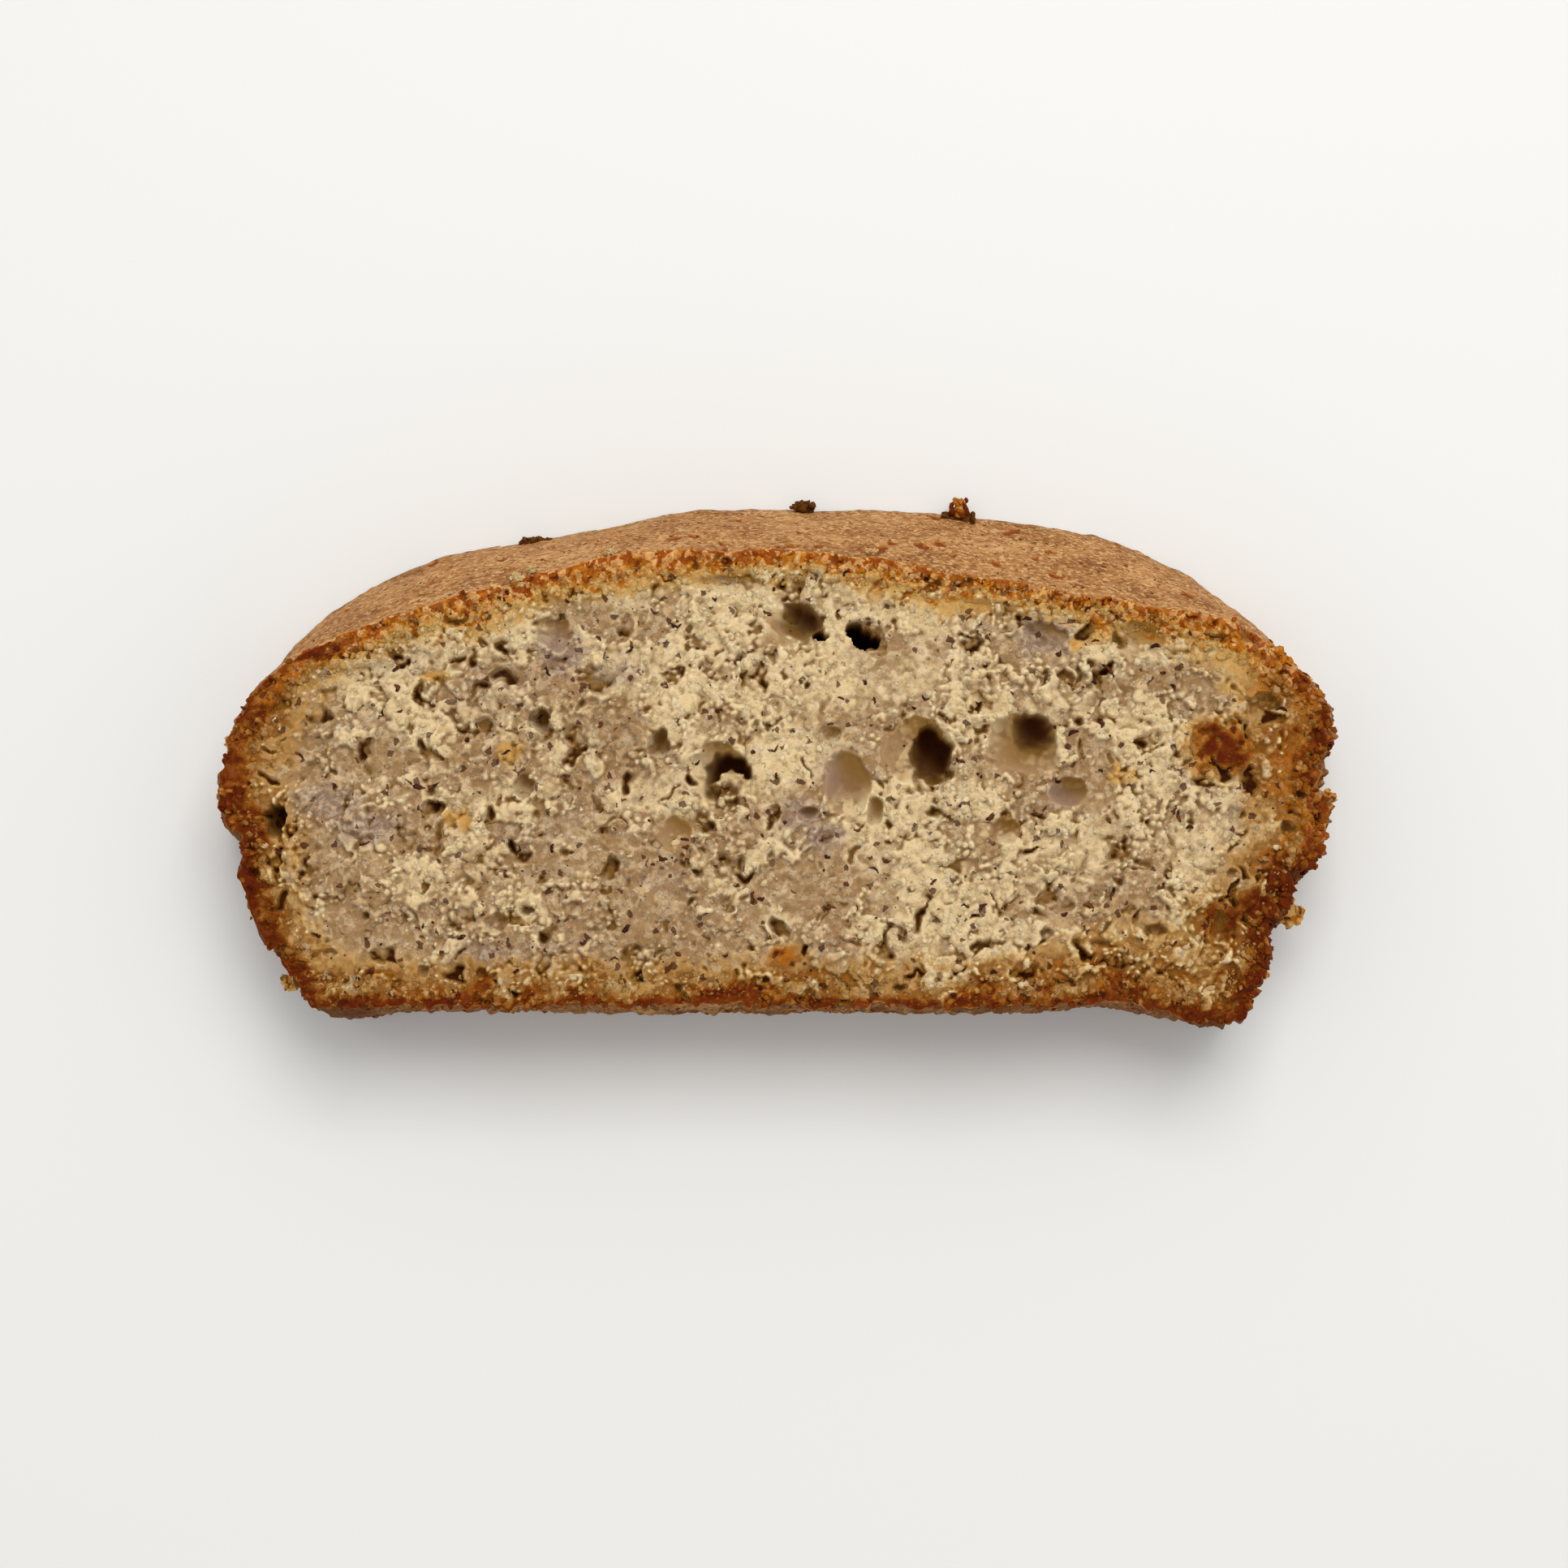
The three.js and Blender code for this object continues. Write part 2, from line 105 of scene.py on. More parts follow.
# Air pockets in the upper cut face: x, y, half-widths, depth, and how smooth the wall is (0 to 1).
AIR_POCKETS = (
    (-6.5, -2.1, 3.6, 4.1, 2.0, 0.9),
    (-5.9, -2.6, 2.9, 3.4, 7.0, 0.6),
    (8.0, -3.2, 2.9, 4.0, 2.4, 0.9),
    (15.6, 1.2, 3.8, 4.2, 2.0, 0.9),
    (17.9, 0.5, 2.5, 3.6, 7.5, 0.6),
    (28.6, 1.6, 4.2, 3.8, 3.4, 0.9),
    (29.6, 2.7, 2.9, 2.5, 6.0, 0.55),
    (26.2, -8.2, 2.0, 1.7, 2.6, 0.6),
    (1.0, 15.4, 2.4, 2.6, 1.6, 0.7),
    (2.9, 16.0, 2.5, 2.5, 5.5, 0.35),
    (-13.7, 1.7, 1.3, 1.9, 3.6, 0.4),
    (6.0, 3.0, 1.5, 1.3, 2.6, 0.3),
    (-27.6, 4.4, 1.4, 1.5, 3.6, 0.2),
    (-29.4, -3.1, 1.3, 1.5, 2.6, 0.5),
    (-11.8, -8.9, 2.0, 2.1, 1.5, 0.7),
    (33.8, -3.8, 2.2, 1.8, 2.4, 0.8),
    (11.3, -6.2, 1.1, 1.7, 2.8, 0.7),
    (3.6, -6.2, 1.2, 0.8, 2.2, 0.8),
    (42.0, 14.0, 3.3, 2.1, 1.9, 0.5),
    (-5.4, 20.6, 3.6, 1.2, 1.2, 0.8),
    (-58.4, -7.2, 1.2, 1.9, 5.5, 0.0),
    (56.2, 6.4, 2.1, 1.7, 2.6, 0.2),
    (51.2, -19.6, 1.4, 2.0, 2.6, 0.1),
    (-25.9, 14.6, 2.1, 2.0, 1.8, 0.5),
    (31.0, 14.2, 2.8, 1.8, 2.0, 0.3),
    (-32.6, -19.0, 1.4, 1.2, 2.2, 0.2),
    (10.5, 14.0, 1.5, 1.2, 17.0, 0.3),
    (8.9, 15.3, 0.9, 1.0, 16.0, 0.2),
    (4.9, 14.5, 0.9, 0.6, 16.0, 0.2),
    (5.4, -9.3, 0.9, 0.7, 1.6, 0.0),
    (43.6, -19.8, 1.4, 0.7, 2.0, 0.0),
    (47.2, -17.0, 0.7, 0.5, 1.6, 0.0),
    (37.2, -21.4, 1.5, 0.5, 1.8, 0.0),
    (31.0, -20.2, 0.9, 0.6, 1.7, 0.0),
    (52.6, -13.2, 0.9, 0.7, 1.8, 0.0),
    (59.0, -8.0, 0.8, 1.0, 2.0, 0.0),
    (60.5, -4.2, 0.6, 0.8, 2.0, 0.0),
    (-60.6, -13.0, 0.6, 1.0, 2.0, 0.0),
    (-52.0, -22.5, 0.9, 0.6, 1.8, 0.0),
    (-41.0, -24.6, 0.7, 0.8, 1.8, 0.0),
    (5.1, -26.4, 1.0, 0.6, 2.6, 0.0),
    (-1.4, -25.6, 0.6, 0.5, 2.2, 0.0),
    (-11.5, -26.5, 0.6, 0.8, 2.4, 0.0),
    (14.0, -26.5, 0.9, 0.5, 2.4, 0.0),
    (-34.3, -24.8, 0.8, 0.7, 2.2, 0.0),
    (-29.0, -17.6, 0.9, 0.6, 2.6, 0.0),
)

# Lumps of crumb that stand in the pockets: x, y, half-widths, height of the top over the face.
POCKET_LUMPS = (
    (-4.8, -3.8, 2.3, 2.7, -0.7),
    (11.3, 12.9, 1.0, 0.6, -1.0),
)

# Smears of mashed banana in the crumb: x, y, half-widths, strength.
BANANA_SMEARS = (
    (2.5, -6.6, 3.2, 2.2, 1.0),
    (5.4, -8.9, 2.6, 2.0, 0.9),
    (-52.5, -5.2, 5.0, 2.5, 0.8),
    (-47.8, -8.0, 4.5, 2.2, 0.9),
    (-25.2, 12.7, 3.2, 3.0, 0.9),
    (-18.1, 9.9, 2.5, 2.0, 0.7),
    (31.2, 14.6, 4.0, 2.6, 0.9),
    (7.7, -1.9, 3.3, 3.8, 0.8),
    (33.1, -4.2, 2.5, 2.0, 0.8),
    (54.7, 3.3, 2.5, 2.5, 0.7),
    (-8.3, 21.6, 4.0, 1.0, 0.9),
    (-33.7, -23.0, 4.0, 1.8, 0.8),
    (-33.0, 8.0, 8.0, 4.0, 0.4),
    (-45.0, 12.0, 6.0, 3.0, 0.4),
)

# Browned or caramelised spots in the crumb: x, y, half-widths, strength.
CARAMEL_SPOTS = (
    (51.6, 1.2, 4.6, 3.8, 1.0),
    (-30.8, 0.7, 1.3, 1.1, 0.55),
    (-36.9, -7.1, 1.0, 1.1, 0.6),
    (-40.2, 9.9, 1.6, 0.8, 0.5),
    (0.9, -23.0, 2.0, 1.7, 0.8),
    (40.6, -1.9, 1.6, 1.4, 0.5),
    (37.4, 15.6, 2.4, 1.8, 0.75),
    (35.2, 13.2, 1.4, 1.2, 0.7),
    (44.0, 15.2, 2.6, 1.2, 0.8),
)

# Lumps of crumb that browned to dark caramel: x, y, half-widths, strength.
BROWN_LUMPS = (
    (51.6, 1.2, 4.6, 3.8, 1.0),
    (0.9, -23.0, 2.0, 1.7, 0.5),
    (58.5, 4.0, 3.0, 8.0, 0.8),
    (50.0, -18.0, 3.0, 4.0, 0.6),
)

# Bright, buttery patches of crumb: x, y, half-widths, strength.
BUTTERY_PATCHES = (
    (-4.5, 18.9, 3.6, 1.8, 1.3),
    (-9.0, -3.0, 6.0, 5.0, 0.5),
    (15.0, 8.0, 8.0, 4.0, 0.6),
    (12.0, -7.0, 7.0, 4.0, 0.6),
    (-27.0, -5.0, 4.0, 3.0, 0.4),
)


# ---- repeatable unevenness

BLEND = 16.0  # how sharply the cells of a pattern are set off from each other
NEVER_ZERO = 1e-12


def lattice_value(i, j, k):
    """A repeatable number from 0 to 1 for each point of a whole-number lattice."""
    return np.mod(np.sin(i * 127.1 + j * 311.7 + k * 74.7) * 43758.5453, 1.0)


def ramp(low, high, value):
    """0 before low, 1 past high and 3t^2 - 2t^3 between them; it falls where high < low."""
    t = np.clip((value - low) / (high - low), 0.0, 1.0)
    return t * t * (3.0 - 2.0 * t)


def noise(x, y, z):
    """Smooth noise from -1 to 1: lattice values blended over the cell that holds the point."""
    x, y, z = np.broadcast_arrays(x, y, z)
    i, j, k = np.floor(x), np.floor(y), np.floor(z)
    u, v, w = (ramp(0.0, 1.0, part) for part in (x - i, y - j, z - k))
    total = np.zeros(x.shape)
    for di, dj, dk in np.ndindex(2, 2, 2):
        weight = (u if di else 1 - u) * (v if dj else 1 - v) * (w if dk else 1 - w)
        total += weight * lattice_value(i + di, j + dj, k + dk)
    return 2.0 * total - 1.0


def cells(x, y, size, seed):
    """A cellular pattern: one point at a repeatable random place in each square cell.

    Gives each place's distance to the nearest such point, in cells, and that point's random
    number. Where two points are about as near, both blend: a point's weight is
    exp(-BLEND * distance^2), and the distance is sqrt(-log(sum of weights) / BLEND).
    """
    x, y = x / size, y / size
    i, j = np.floor(x), np.floor(y)
    total = np.zeros(x.shape)
    number = np.zeros(x.shape)
    for di, dj in np.ndindex(3, 3):
        ci, cj = i + di - 1, j + dj - 1
        across = x - ci - lattice_value(ci, cj, seed)
        rise = y - cj - lattice_value(ci, cj, seed + 7)
        weight = np.exp(-BLEND * (across * across + rise * rise)) + NEVER_ZERO
        total += weight
        number += weight * lattice_value(ci, cj, seed + 13)
    return np.sqrt(np.maximum(-np.log(total) / BLEND, 0)), number / total


# ---- outline

CURVE_POINTS = 200
DOME_POINTS = 400
OUTLINE_POINTS = 2000  # to each of the outline's four sides, before they are spaced evenly


def bezier(*handles):
    """Points of a Bezier curve: the handles weighted by Bernstein polynomials."""
    t = np.linspace(0.0, 1.0, CURVE_POINTS)[:, None]
    order = len(handles) - 1
    return sum(
        math.comb(order, n) * t**n * (1 - t) ** (order - n) * np.array(handle)
        for n, handle in enumerate(handles)
    )


def dome_points(dome, start, end):
    """Points of a squared-off ellipse from one angle to another.

    x = half width * cos^(2 / across) + shift * r, y = WIDEST_Y + height * r, r = sin^(2 / rise).
    """
    angle = np.linspace(start, end, DOME_POINTS)
    sideways = np.cos(angle)
    across = np.sign(sideways) * np.abs(sideways) ** (2 / dome["across"])
    rise = np.abs(np.sin(angle)) ** (2 / dome["rise"])
    x = dome["half_width"] * across + dome["shift"] * rise
    return np.stack([x, WIDEST_Y + dome["height"] * rise], -1)


def along(points, share):
    """Places on a polyline at shares of its length."""
    steps = np.hypot(*np.diff(points, axis=0).T)
    length = np.concatenate([[0.0], np.cumsum(steps)])
    at = np.asarray(share) * length[-1]
    return np.stack([np.interp(at, length, points[:, n]) for n in (0, 1)], -1)


def face_rim(dome):
    """The four rim curves of a cut face: base and dome from the left, flanks from the base up."""
    rim = {"dome": dome_points(dome, math.pi - SHOULDER_ANGLE, SHOULDER_ANGLE)}
    for name, side in (("left", -1.0), ("right", 1.0)):
        widest = side * dome["half_width"]
        lean = bezier(
            (side * BASE_CORNER[0], BASE_CORNER[1]),
            (side * (BASE_CORNER[0] + FLANK_LEAN), FLANK_HANDLE_Y[0]),
            (widest, FLANK_HANDLE_Y[1]),
            (widest, WIDEST_Y),
        )
        start = 0.0 if side > 0 else math.pi
        shoulder = dome_points(dome, start, start + side * SHOULDER_ANGLE)
        rim[name] = np.concatenate([lean, shoulder[1:]])
    corner = bezier(
        (BASE_FLAT_HALF, BASE_Y), (BASE_TURN_X, BASE_Y), (BASE_CORNER[0], BASE_CORNER[1])
    )
    rim["base"] = np.concatenate([corner[::-1] * (-1.0, 1.0), corner])
    return rim


RIMS = {"lower": face_rim(LOWER_DOME), "upper": face_rim(UPPER_DOME)}


def outward(x, y):
    """The outward direction of a rounded rectangle around the slice, (x/a)^4 + (y/b)^4 = 1."""
    ax = (x / UPPER_DOME["half_width"]) ** 3 / UPPER_DOME["half_width"]
    ay = (y / UPPER_DOME["height"]) ** 3 / UPPER_DOME["height"]
    size = np.hypot(ax, ay) + NEVER_ZERO
    return ax / size, ay / size


def crust_push(x, y, level):
    """How far the crust stands out at a place, level being its share of the thickness.

    A belly, 4 * level * (1 - level), plus a bell, exp(-distance^2), for each feature of the rim,
    plus noise that changes with level, less a ball's hollow for each chip.
    """
    push = CRUST_BELLY * 4 * level * (1 - level)
    for fx, fy, radius, lower, upper in RIM_FEATURES:
        away = np.hypot(x - fx, y - fy) / radius
        push += np.exp(-away * away) * (lower + (upper - lower) * level)
    crumbled = ramp(*CRUMBLED_X, x)
    unevenness = RIM_UNEVENNESS + (CRUMBLED_UNEVENNESS - RIM_UNEVENNESS) * crumbled
    unevenness = unevenness * (1 - 0.5 * ramp(8, 16, y) * (1 - level))
    wander = noise(x / 7, y / 7, level * 2)
    tear = noise(x / 2.6 + 40, y / 2.6, level * 3)
    push += unevenness * (0.6 * wander + 0.4 * tear)
    for cx, cy, radius, reach in CRUST_CHIPS:
        away = np.hypot(x - cx, y - cy) / radius
        down = (1 - level) * THICKNESS / reach
        push -= radius * np.sqrt(np.clip(1 - away**2 - down**2, 0, 1))
    return push


def outline(level, count):
    """The slice's outline at a level: its smooth curve, run anticlockwise, and its normals.

    The curve is the lower and the upper rim's, mixed by level, at equal steps of its length.
    """
    shares = np.linspace(0.0, 1.0, OUTLINE_POINTS)
    sides = (("base", 1), ("right", 1), ("dome", -1), ("left", -1))
    loop = np.concatenate(
        [
            along(RIMS["lower"][name], shares)[::way][:-1] * (1 - level)
            + along(RIMS["upper"][name], shares)[::way][:-1] * level
            for name, way in sides
        ]
    )
    closed = np.concatenate([loop, loop[:1]])
    points = along(closed, np.arange(count) / count)
    ahead = np.roll(points, -2, axis=0) - np.roll(points, 2, axis=0)
    normals = np.stack([ahead[:, 1], -ahead[:, 0]], -1)
    return points, normals / np.linalg.norm(normals, axis=1, keepdims=True)


SLAB = 4000  # places measured at a time, so that the table of distances stays small
SKIN_LINE_POINTS = 1100


def distance_to(points, curve):
    """For each point, the distance to the nearest sample of a curve, a slab of points at a time."""
    flat = points.reshape(-1, 2)
    slabs = np.array_split(flat, max(1, len(flat) // SLAB))
    apart = ((slab[:, None] - curve[None]).transpose(2, 0, 1) for slab in slabs)
    nearest = [np.hypot(*each).min(1) for each in apart]
    return np.concatenate(nearest).reshape(points.shape[:-1])


def skin_line(face):
    """Places along a cut face's outline, with the crust's push."""
    level = float(face == "upper")
    points = outline(level, SKIN_LINE_POINTS)[0]
    ax, ay = outward(*points.T)
    push = crust_push(*points.T, level)
    return points + np.stack([ax * push, ay * push], -1)


SKIN_LINES = {face: skin_line(face) for face in ("lower", "upper")}


# ---- relief and tints of a cut face

# The maps of the cut faces: their two corners, and their points' spacing. Depth is how far a place
# lies inside the skin; it is measured on a wider spacing, and read from there.
MAP_LOW = np.array([-70.0, -34.0])
MAP_HIGH = np.array([70.0, 36.0])
MAP_STEP = {"upper": 0.125, "lower": 0.4}
DEPTH_STEP = 0.5
MAP_LAYER = {"upper": 3.5, "lower": 8.5}  # which noise each face is torn by
# Of the tints, butter also paints light where the crumb stands up, and the third paints shade in
# crevices and pockets.
TINTS = ("butter", "banana", "hollow", "toast", "bake", "smooth")
GOLDEN = 0.68  # how far the zone inside the crust is toasted
# These reaches judge how far a place stands above or sinks below what is round it, for the painted
# light and shade.
NEAR, MIDDLING, FAR = 0.4, 1.1, 3.0  # how wide round a place its hollows are judged, mm


def map_grid(step):
    """The places of a map's points, as two arrays: the first index runs along x."""
    return np.meshgrid(*(np.arange(MAP_LOW[n], MAP_HIGH[n], step) for n in (0, 1)), indexing="ij")


def read(table, step, x, y):
    """A map's values at any places, blended between its four nearest points."""
    i = np.clip((x - MAP_LOW[0]) / step, 0, table.shape[0] - 1.001)
    j = np.clip((y - MAP_LOW[1]) / step, 0, table.shape[1] - 1.001)
    left, low = i.astype(int), j.astype(int)
    a, b = i - left, j - low
    near = table[left, low] * (1 - b) + table[left, low + 1] * b
    far = table[left + 1, low] * (1 - b) + table[left + 1, low + 1] * b
    return near * (1 - a) + far * a


def averaged(table, reach):
    """A map averaged over squares of 2 * reach + 1 points, twice, from running sums."""
    width = 2 * reach + 1
    for axis in (0, 1, 0, 1):
        edges = [(0, 0), (0, 0)]
        edges[axis] = (reach + 1, reach)
        total = np.cumsum(np.pad(table, edges, mode="edge"), axis)
        ahead = np.take(total, np.arange(width, total.shape[axis]), axis)
        behind = np.take(total, np.arange(total.shape[axis] - width), axis)
        table = (ahead - behind) / width
    return table


def blots(x, y, spots):
    """Soft-edged spots: strength * exp(-distance^4), distance in half-widths, the largest kept."""
    shade = np.zeros(x.shape)
    for px, py, across, rise, strength in spots:
        away = np.hypot((x - px) / across, (y - py) / rise)
        shade = np.maximum(shade, strength * np.exp(-(away**4)))
    return shade


def pits(x, y, size, share, seed):
    """Small pits: a share of the cells of a pattern hold one, 0.2 to 0.45 cells in radius.

    Gives 0 outside them, rising to 1 at their middles.
    """
    nearest, number = cells(x, y, size, seed)
    radius = 0.2 + 0.25 * number / share
    return np.where(number < share, ramp(0.0, 0.7, 1 - nearest / radius), 0.0)


def torn_crumb(x, y, layer):
    """Relief of crumb that a knife has torn, in mm, how far up its sheets a place is, and a random
    number for its grain.

    Clumps of 1.8 mm, grains of 0.8 and fine grains of 0.45 are domes, a constant less distance^2
    from their cell's point, of random height. A sheet is a step where slow noise, raised by whole
    clumps and in the middle of each grain, crosses a threshold, so that its edge is knobbly. Pits
    of three sizes are sunk into it all, and gaps open where clumps meet. The pattern is shifted by
    noise, and is flattened by up to a third where it is calm.
    """
    shift_x, shift_y = (
        0.8 * noise(x / 1.9, y / 1.9, layer + first) + 0.25 * noise(x / 0.7, y / 0.7, layer + first + 2)
        for first in (21, 27)
    )
    wx, wy = x + shift_x, y + shift_y
    clump, clump_number = cells(wx, wy, 1.8, layer + 31)
    grain, grain_number = cells(x + 0.5 * shift_x, y + 0.5 * shift_y, 0.8, layer + 43)
    fine, fine_number = cells(x + 0.3 * shift_x, y, 0.45, layer + 47)
    sheet = noise(wx / 7.5, wy / 5.5, layer + 2) + 0.55 * noise(wx / 2.9, wy / 2.5, layer + 5)
    sheet = sheet + 0.5 * (0.4 - grain) + 0.7 * (clump_number - 0.5)
    height = 0.85 * ramp(-0.15, 0.12, sheet) + 0.75 * ramp(0.5, 0.75, sheet) - 0.85
    height += 0.5 * (0.4 - clump**2) * (0.3 + clump_number)
    height = height + 0.26 * (0.4 - grain**2) * (0.3 + grain_number) + 0.08 * grain_number
    height += 0.1 * (0.4 - fine**2) * (0.3 + fine_number)
    height += 0.25 * noise(wx / 1.5, wy / 1.5, layer + 11)
    height += 0.1 * noise(wx / 0.62, wy / 0.62, layer + 13)
    height += 0.05 * noise(x / 0.35, y / 0.35, layer)
    open_here = ramp(0.1, 0.6, noise(x / 3.4, y / 3.4, layer + 63))
    height -= 0.8 * open_here * ramp(0.62, 0.8, clump)
    torn_x, torn_y = wx + 0.9 * shift_x, wy + 0.9 * shift_y
    height -= 1.5 * pits(torn_x, torn_y, 4.8, 0.28, layer + 51)
    height -= 0.9 * pits(torn_x, 0.7 * torn_y, 2.2, 0.2, layer + 57)
    height -= 0.5 * pits(0.8 * wx, wy, 1.25, 0.16, layer + 59)
    calm = ramp(0.2, 0.6, noise(x / 5.5, y / 4.0, layer + 65))
    return height * (1 - 0.35 * calm), sheet, grain_number


def open_pockets(x, y, height, rough):
    """Opens the air pockets in a map of heights.

    In a pocket the height is -depth * (1 - r^2)^p, r being the distance from its middle in
    half-widths of a ragged lip, whose noise is turned by the pocket's number. p is less, and the
    wall steeper, in deep pockets and towards the dome and the right. A torn wall keeps a share of
    the crumb's relief, and lumps stand in some pockets. Gives the height, how smooth the wall is
    and how much shade is painted in the pocket: more with its depth, on the side towards the dome
    and the right, and a little on smooth walls.
    """
    smooth, painted_pocket_shade = np.zeros(x.shape), np.zeros(x.shape)
    for number, (px, py, across, rise, deep, smoothness) in enumerate(AIR_POCKETS):
        reach = 1.6 * max(across, rise)
        columns = slice(*np.searchsorted(x[:, 0], (px - reach, px + reach)))
        rows = slice(*np.searchsorted(y[0], (py - reach, py + reach)))
        part = (columns, rows)
        dx, dy = (x[part] - px) / across, (y[part] - py) / rise
        away = np.hypot(dx, dy) + 1e-9  # never zero
        turned_x = (dx * math.cos(number) - dy * math.sin(number)) / away
        turned_y = (dx * math.sin(number) + dy * math.cos(number)) / away
        lip = 1 + 0.2 * noise(turned_x * 1.6 + 0.5, turned_y * 1.6 + 0.5, number + 5.5)
        ragged = noise(x[part] / 0.8, y[part] / 0.8, number + 0.5)
        lip += (0.09 + 0.3 * (1 - smoothness)) * ragged
        inside = np.clip(1 - (away / lip) ** 2, 0, 1)
        bowl = -deep * inside ** np.clip(0.95 - 0.08 * deep - 0.25 * dx - 0.3 * dy, 0.35, 1.3)
        opened = ramp(0.0, 0.06, inside)
        walled = bowl + ((0.1 + 0.4 * (1 - smoothness)) * opened + 1 - opened) * rough[part]
        height[part] = np.where(inside > 0, np.minimum(height[part], walled), height[part])
        smooth[part] = np.maximum(smooth[part], smoothness * ramp(0.0, 0.12, inside))
        # Painted shade in the pocket: darker with depth, and on the wall towards the dome and the
        # right.
        painted_shadow_side = ramp(-0.3, 0.9, 0.5 * dx + 0.7 * dy)
        shade = 0.75 * ramp(0.6, 7.0, -bowl) + 0.38 * painted_shadow_side
        shade += 0.08 * smoothness
        painted_pocket_shade[part] = np.maximum(painted_pocket_shade[part], opened * shade)
    for mx, my, across, rise, top in POCKET_LUMPS:
        away = np.hypot((x - mx) / across, (y - my) / rise)
        away += 0.4 * noise(x / 0.9, y / 0.9, 7.5)
        lump = top - 2.5 * ramp(0.75, 1.15, away) + 1.2 * rough
        height = np.where(away < 1.1, np.maximum(height, lump), height)
        smooth *= ramp(0.8, 1.1, away)
        # The lumps are kept mostly clear of the painted shade.
        painted_pocket_shade *= 1 - 0.8 * ramp(1.1, 0.9, away)
    return height, smooth, painted_pocket_shade


def cut_face(face):
    """The maps of a cut face: its height above its plane in mm, and its tints, each from 0 to 1.

    Height is wide waves plus torn crumb, rougher on the crumbled right-hand side, and opened by the
    air pockets; the lower face is pressed flatter by the slice's weight. Butter is a buttery tone
    with painted light where the crumb stands up over the mean of what is round it, banana where
    fruit was mashed in, and the darkening tint painted shade where it lies low or in a pocket. Toast
    is how far it is browned, raised where it lies low as painted shade, bake how dark it browned,
    and smooth how smooth a pocket's wall is.
    """
    step, layer = MAP_STEP[face], MAP_LAYER[face]
    rim_x, rim_y = map_grid(DEPTH_STEP)
    depth = distance_to(np.stack([rim_x, rim_y], -1), SKIN_LINES[face])
    x, y = map_grid(step)
    depth = read(depth, DEPTH_STEP, x, y)
    rough, sheet, grain_number = torn_crumb(x, y, layer)
    crumbled = ramp(48, 58, x) * ramp(14, 8, y) * ramp(10, 4, depth)
    crags = 0.7 * noise(x / 2.4, y / 2.4, 71.5) + 0.4 * noise(x / 1.1, y / 1.1, 73.5)
    rough += crumbled * crags
    wide = 0.35 * noise(x / 9, y / 9, layer) + 0.45 * noise(x / 4.4, y / 4.4, layer)
    rough = (0.6 + 0.4 * ramp(0.0, 3.5, depth)) * rough
    height = wide + rough
    reaches = (round(reach / step) for reach in (NEAR, MIDDLING, FAR))
    near, middle, far = (rough - averaged(rough, reach) for reach in reaches)
    smooth, painted_pocket_shade = np.zeros(x.shape), np.zeros(x.shape)
    if face == "upper":
        height, smooth, painted_pocket_shade = open_pockets(x, y, height, rough)
    else:
        height = 0.5 + np.clip(0.4 * height, -0.45, 0.0)

    ragged = 0.6 * noise(x / 1.4, y / 1.4, 83.5) + 0.5 * (grain_number - 0.5)
    warm_x, warm_y = x + 1.1 * ragged, y + 1.1 * noise(x / 1.4, y / 1.4, 85.5)
    banana = 0.4 * ramp(0.15, 0.6, noise(x / 6 + ragged, y / 4.5, layer + 61) - 0.2 * middle)
    # Butter is a buttery tone of noise, with painted light on the raised sheets and wherever the crumb
    # stands up over what is round it.
    butter = 0.02 + 1.15 * noise(x / 6, y / 4.5, layer + 67) + 0.3 * ramp(-0.3, 0.5, sheet)
    butter = butter + 0.3 * (grain_number - 0.5) + 0.18 * ramp(-35, 5, x)
    butter = butter + 0.6 * near + 0.4 * middle + 0.2 * far
    toast, bake = browning(x, y, depth + 0.9 * ragged)
    bake += 0.9 * rim_notches(x, y, depth)
    # Blotches of noise, plus painted shade: toast rises where the crumb lies low.
    blotches_and_painted_shade = 0.3 * noise(x / 2.6, y / 1.8, 77.5) - 0.5 * near - 0.3 * middle
    toast += ramp(0.1, 0.4, toast) * blotches_and_painted_shade
    under_dome = ramp(9.0, 5.0, depth) * ramp(2.0, 12.0, y)
    butter += 0.5 * under_dome * (1 + noise(x / 5, y / 5, 81.5))
    if face == "upper":
        banana *= 1 - 0.2 * ramp(-10, 10, x)
        banana = np.maximum(banana, blots(warm_x, warm_y, BANANA_SMEARS))
        banana = np.maximum(banana, 0.3 * smooth)
        inner_right = ramp(47, 54, x) * ramp(13.0, 8.0, depth) * ramp(3.0, 6.0, depth)
        banana = np.maximum(banana, 0.35 * inner_right * (1 + noise(x / 2.5, y / 2.5, 69.5)))
        butter = butter * (1 - 0.5 * smooth) + 0.6 * blots(warm_x, warm_y, BUTTERY_PATCHES)
        warm_x += 1.2 * noise(x / 2.6, y / 2.6, 99.5)
        caramel = blots(warm_x, warm_y, CARAMEL_SPOTS) * (0.8 + 0.5 * ragged)
        toast = np.maximum(toast, caramel)
        bake = np.maximum(bake, blots(warm_x, warm_y, BROWN_LUMPS) * (0.9 + ragged))
    # Painted shade where the crumb lies below what is round it, deeper where it baked dark; with the
    # pockets' painted shade it makes the tint that darkens the crumb.
    painted_crevice_shade = 0.2 * ramp(0.1, 0.5, -near) + 0.7 * ramp(0.15, 1.15, -middle)
    painted_crevice_shade += 0.25 * ramp(0.7, 2.0, -far)
    painted_crevice_shade *= 0.8 + 0.9 * bake * ramp(0, 0.4, toast)
    hollow = np.maximum(painted_pocket_shade, (1 - smooth) * painted_crevice_shade)
    shades = (butter, banana, hollow, toast, bake, smooth)
    maps = {name: np.clip(shade, 0, 1) for name, shade in zip(TINTS, shades)}
    maps["height"] = height
    return maps


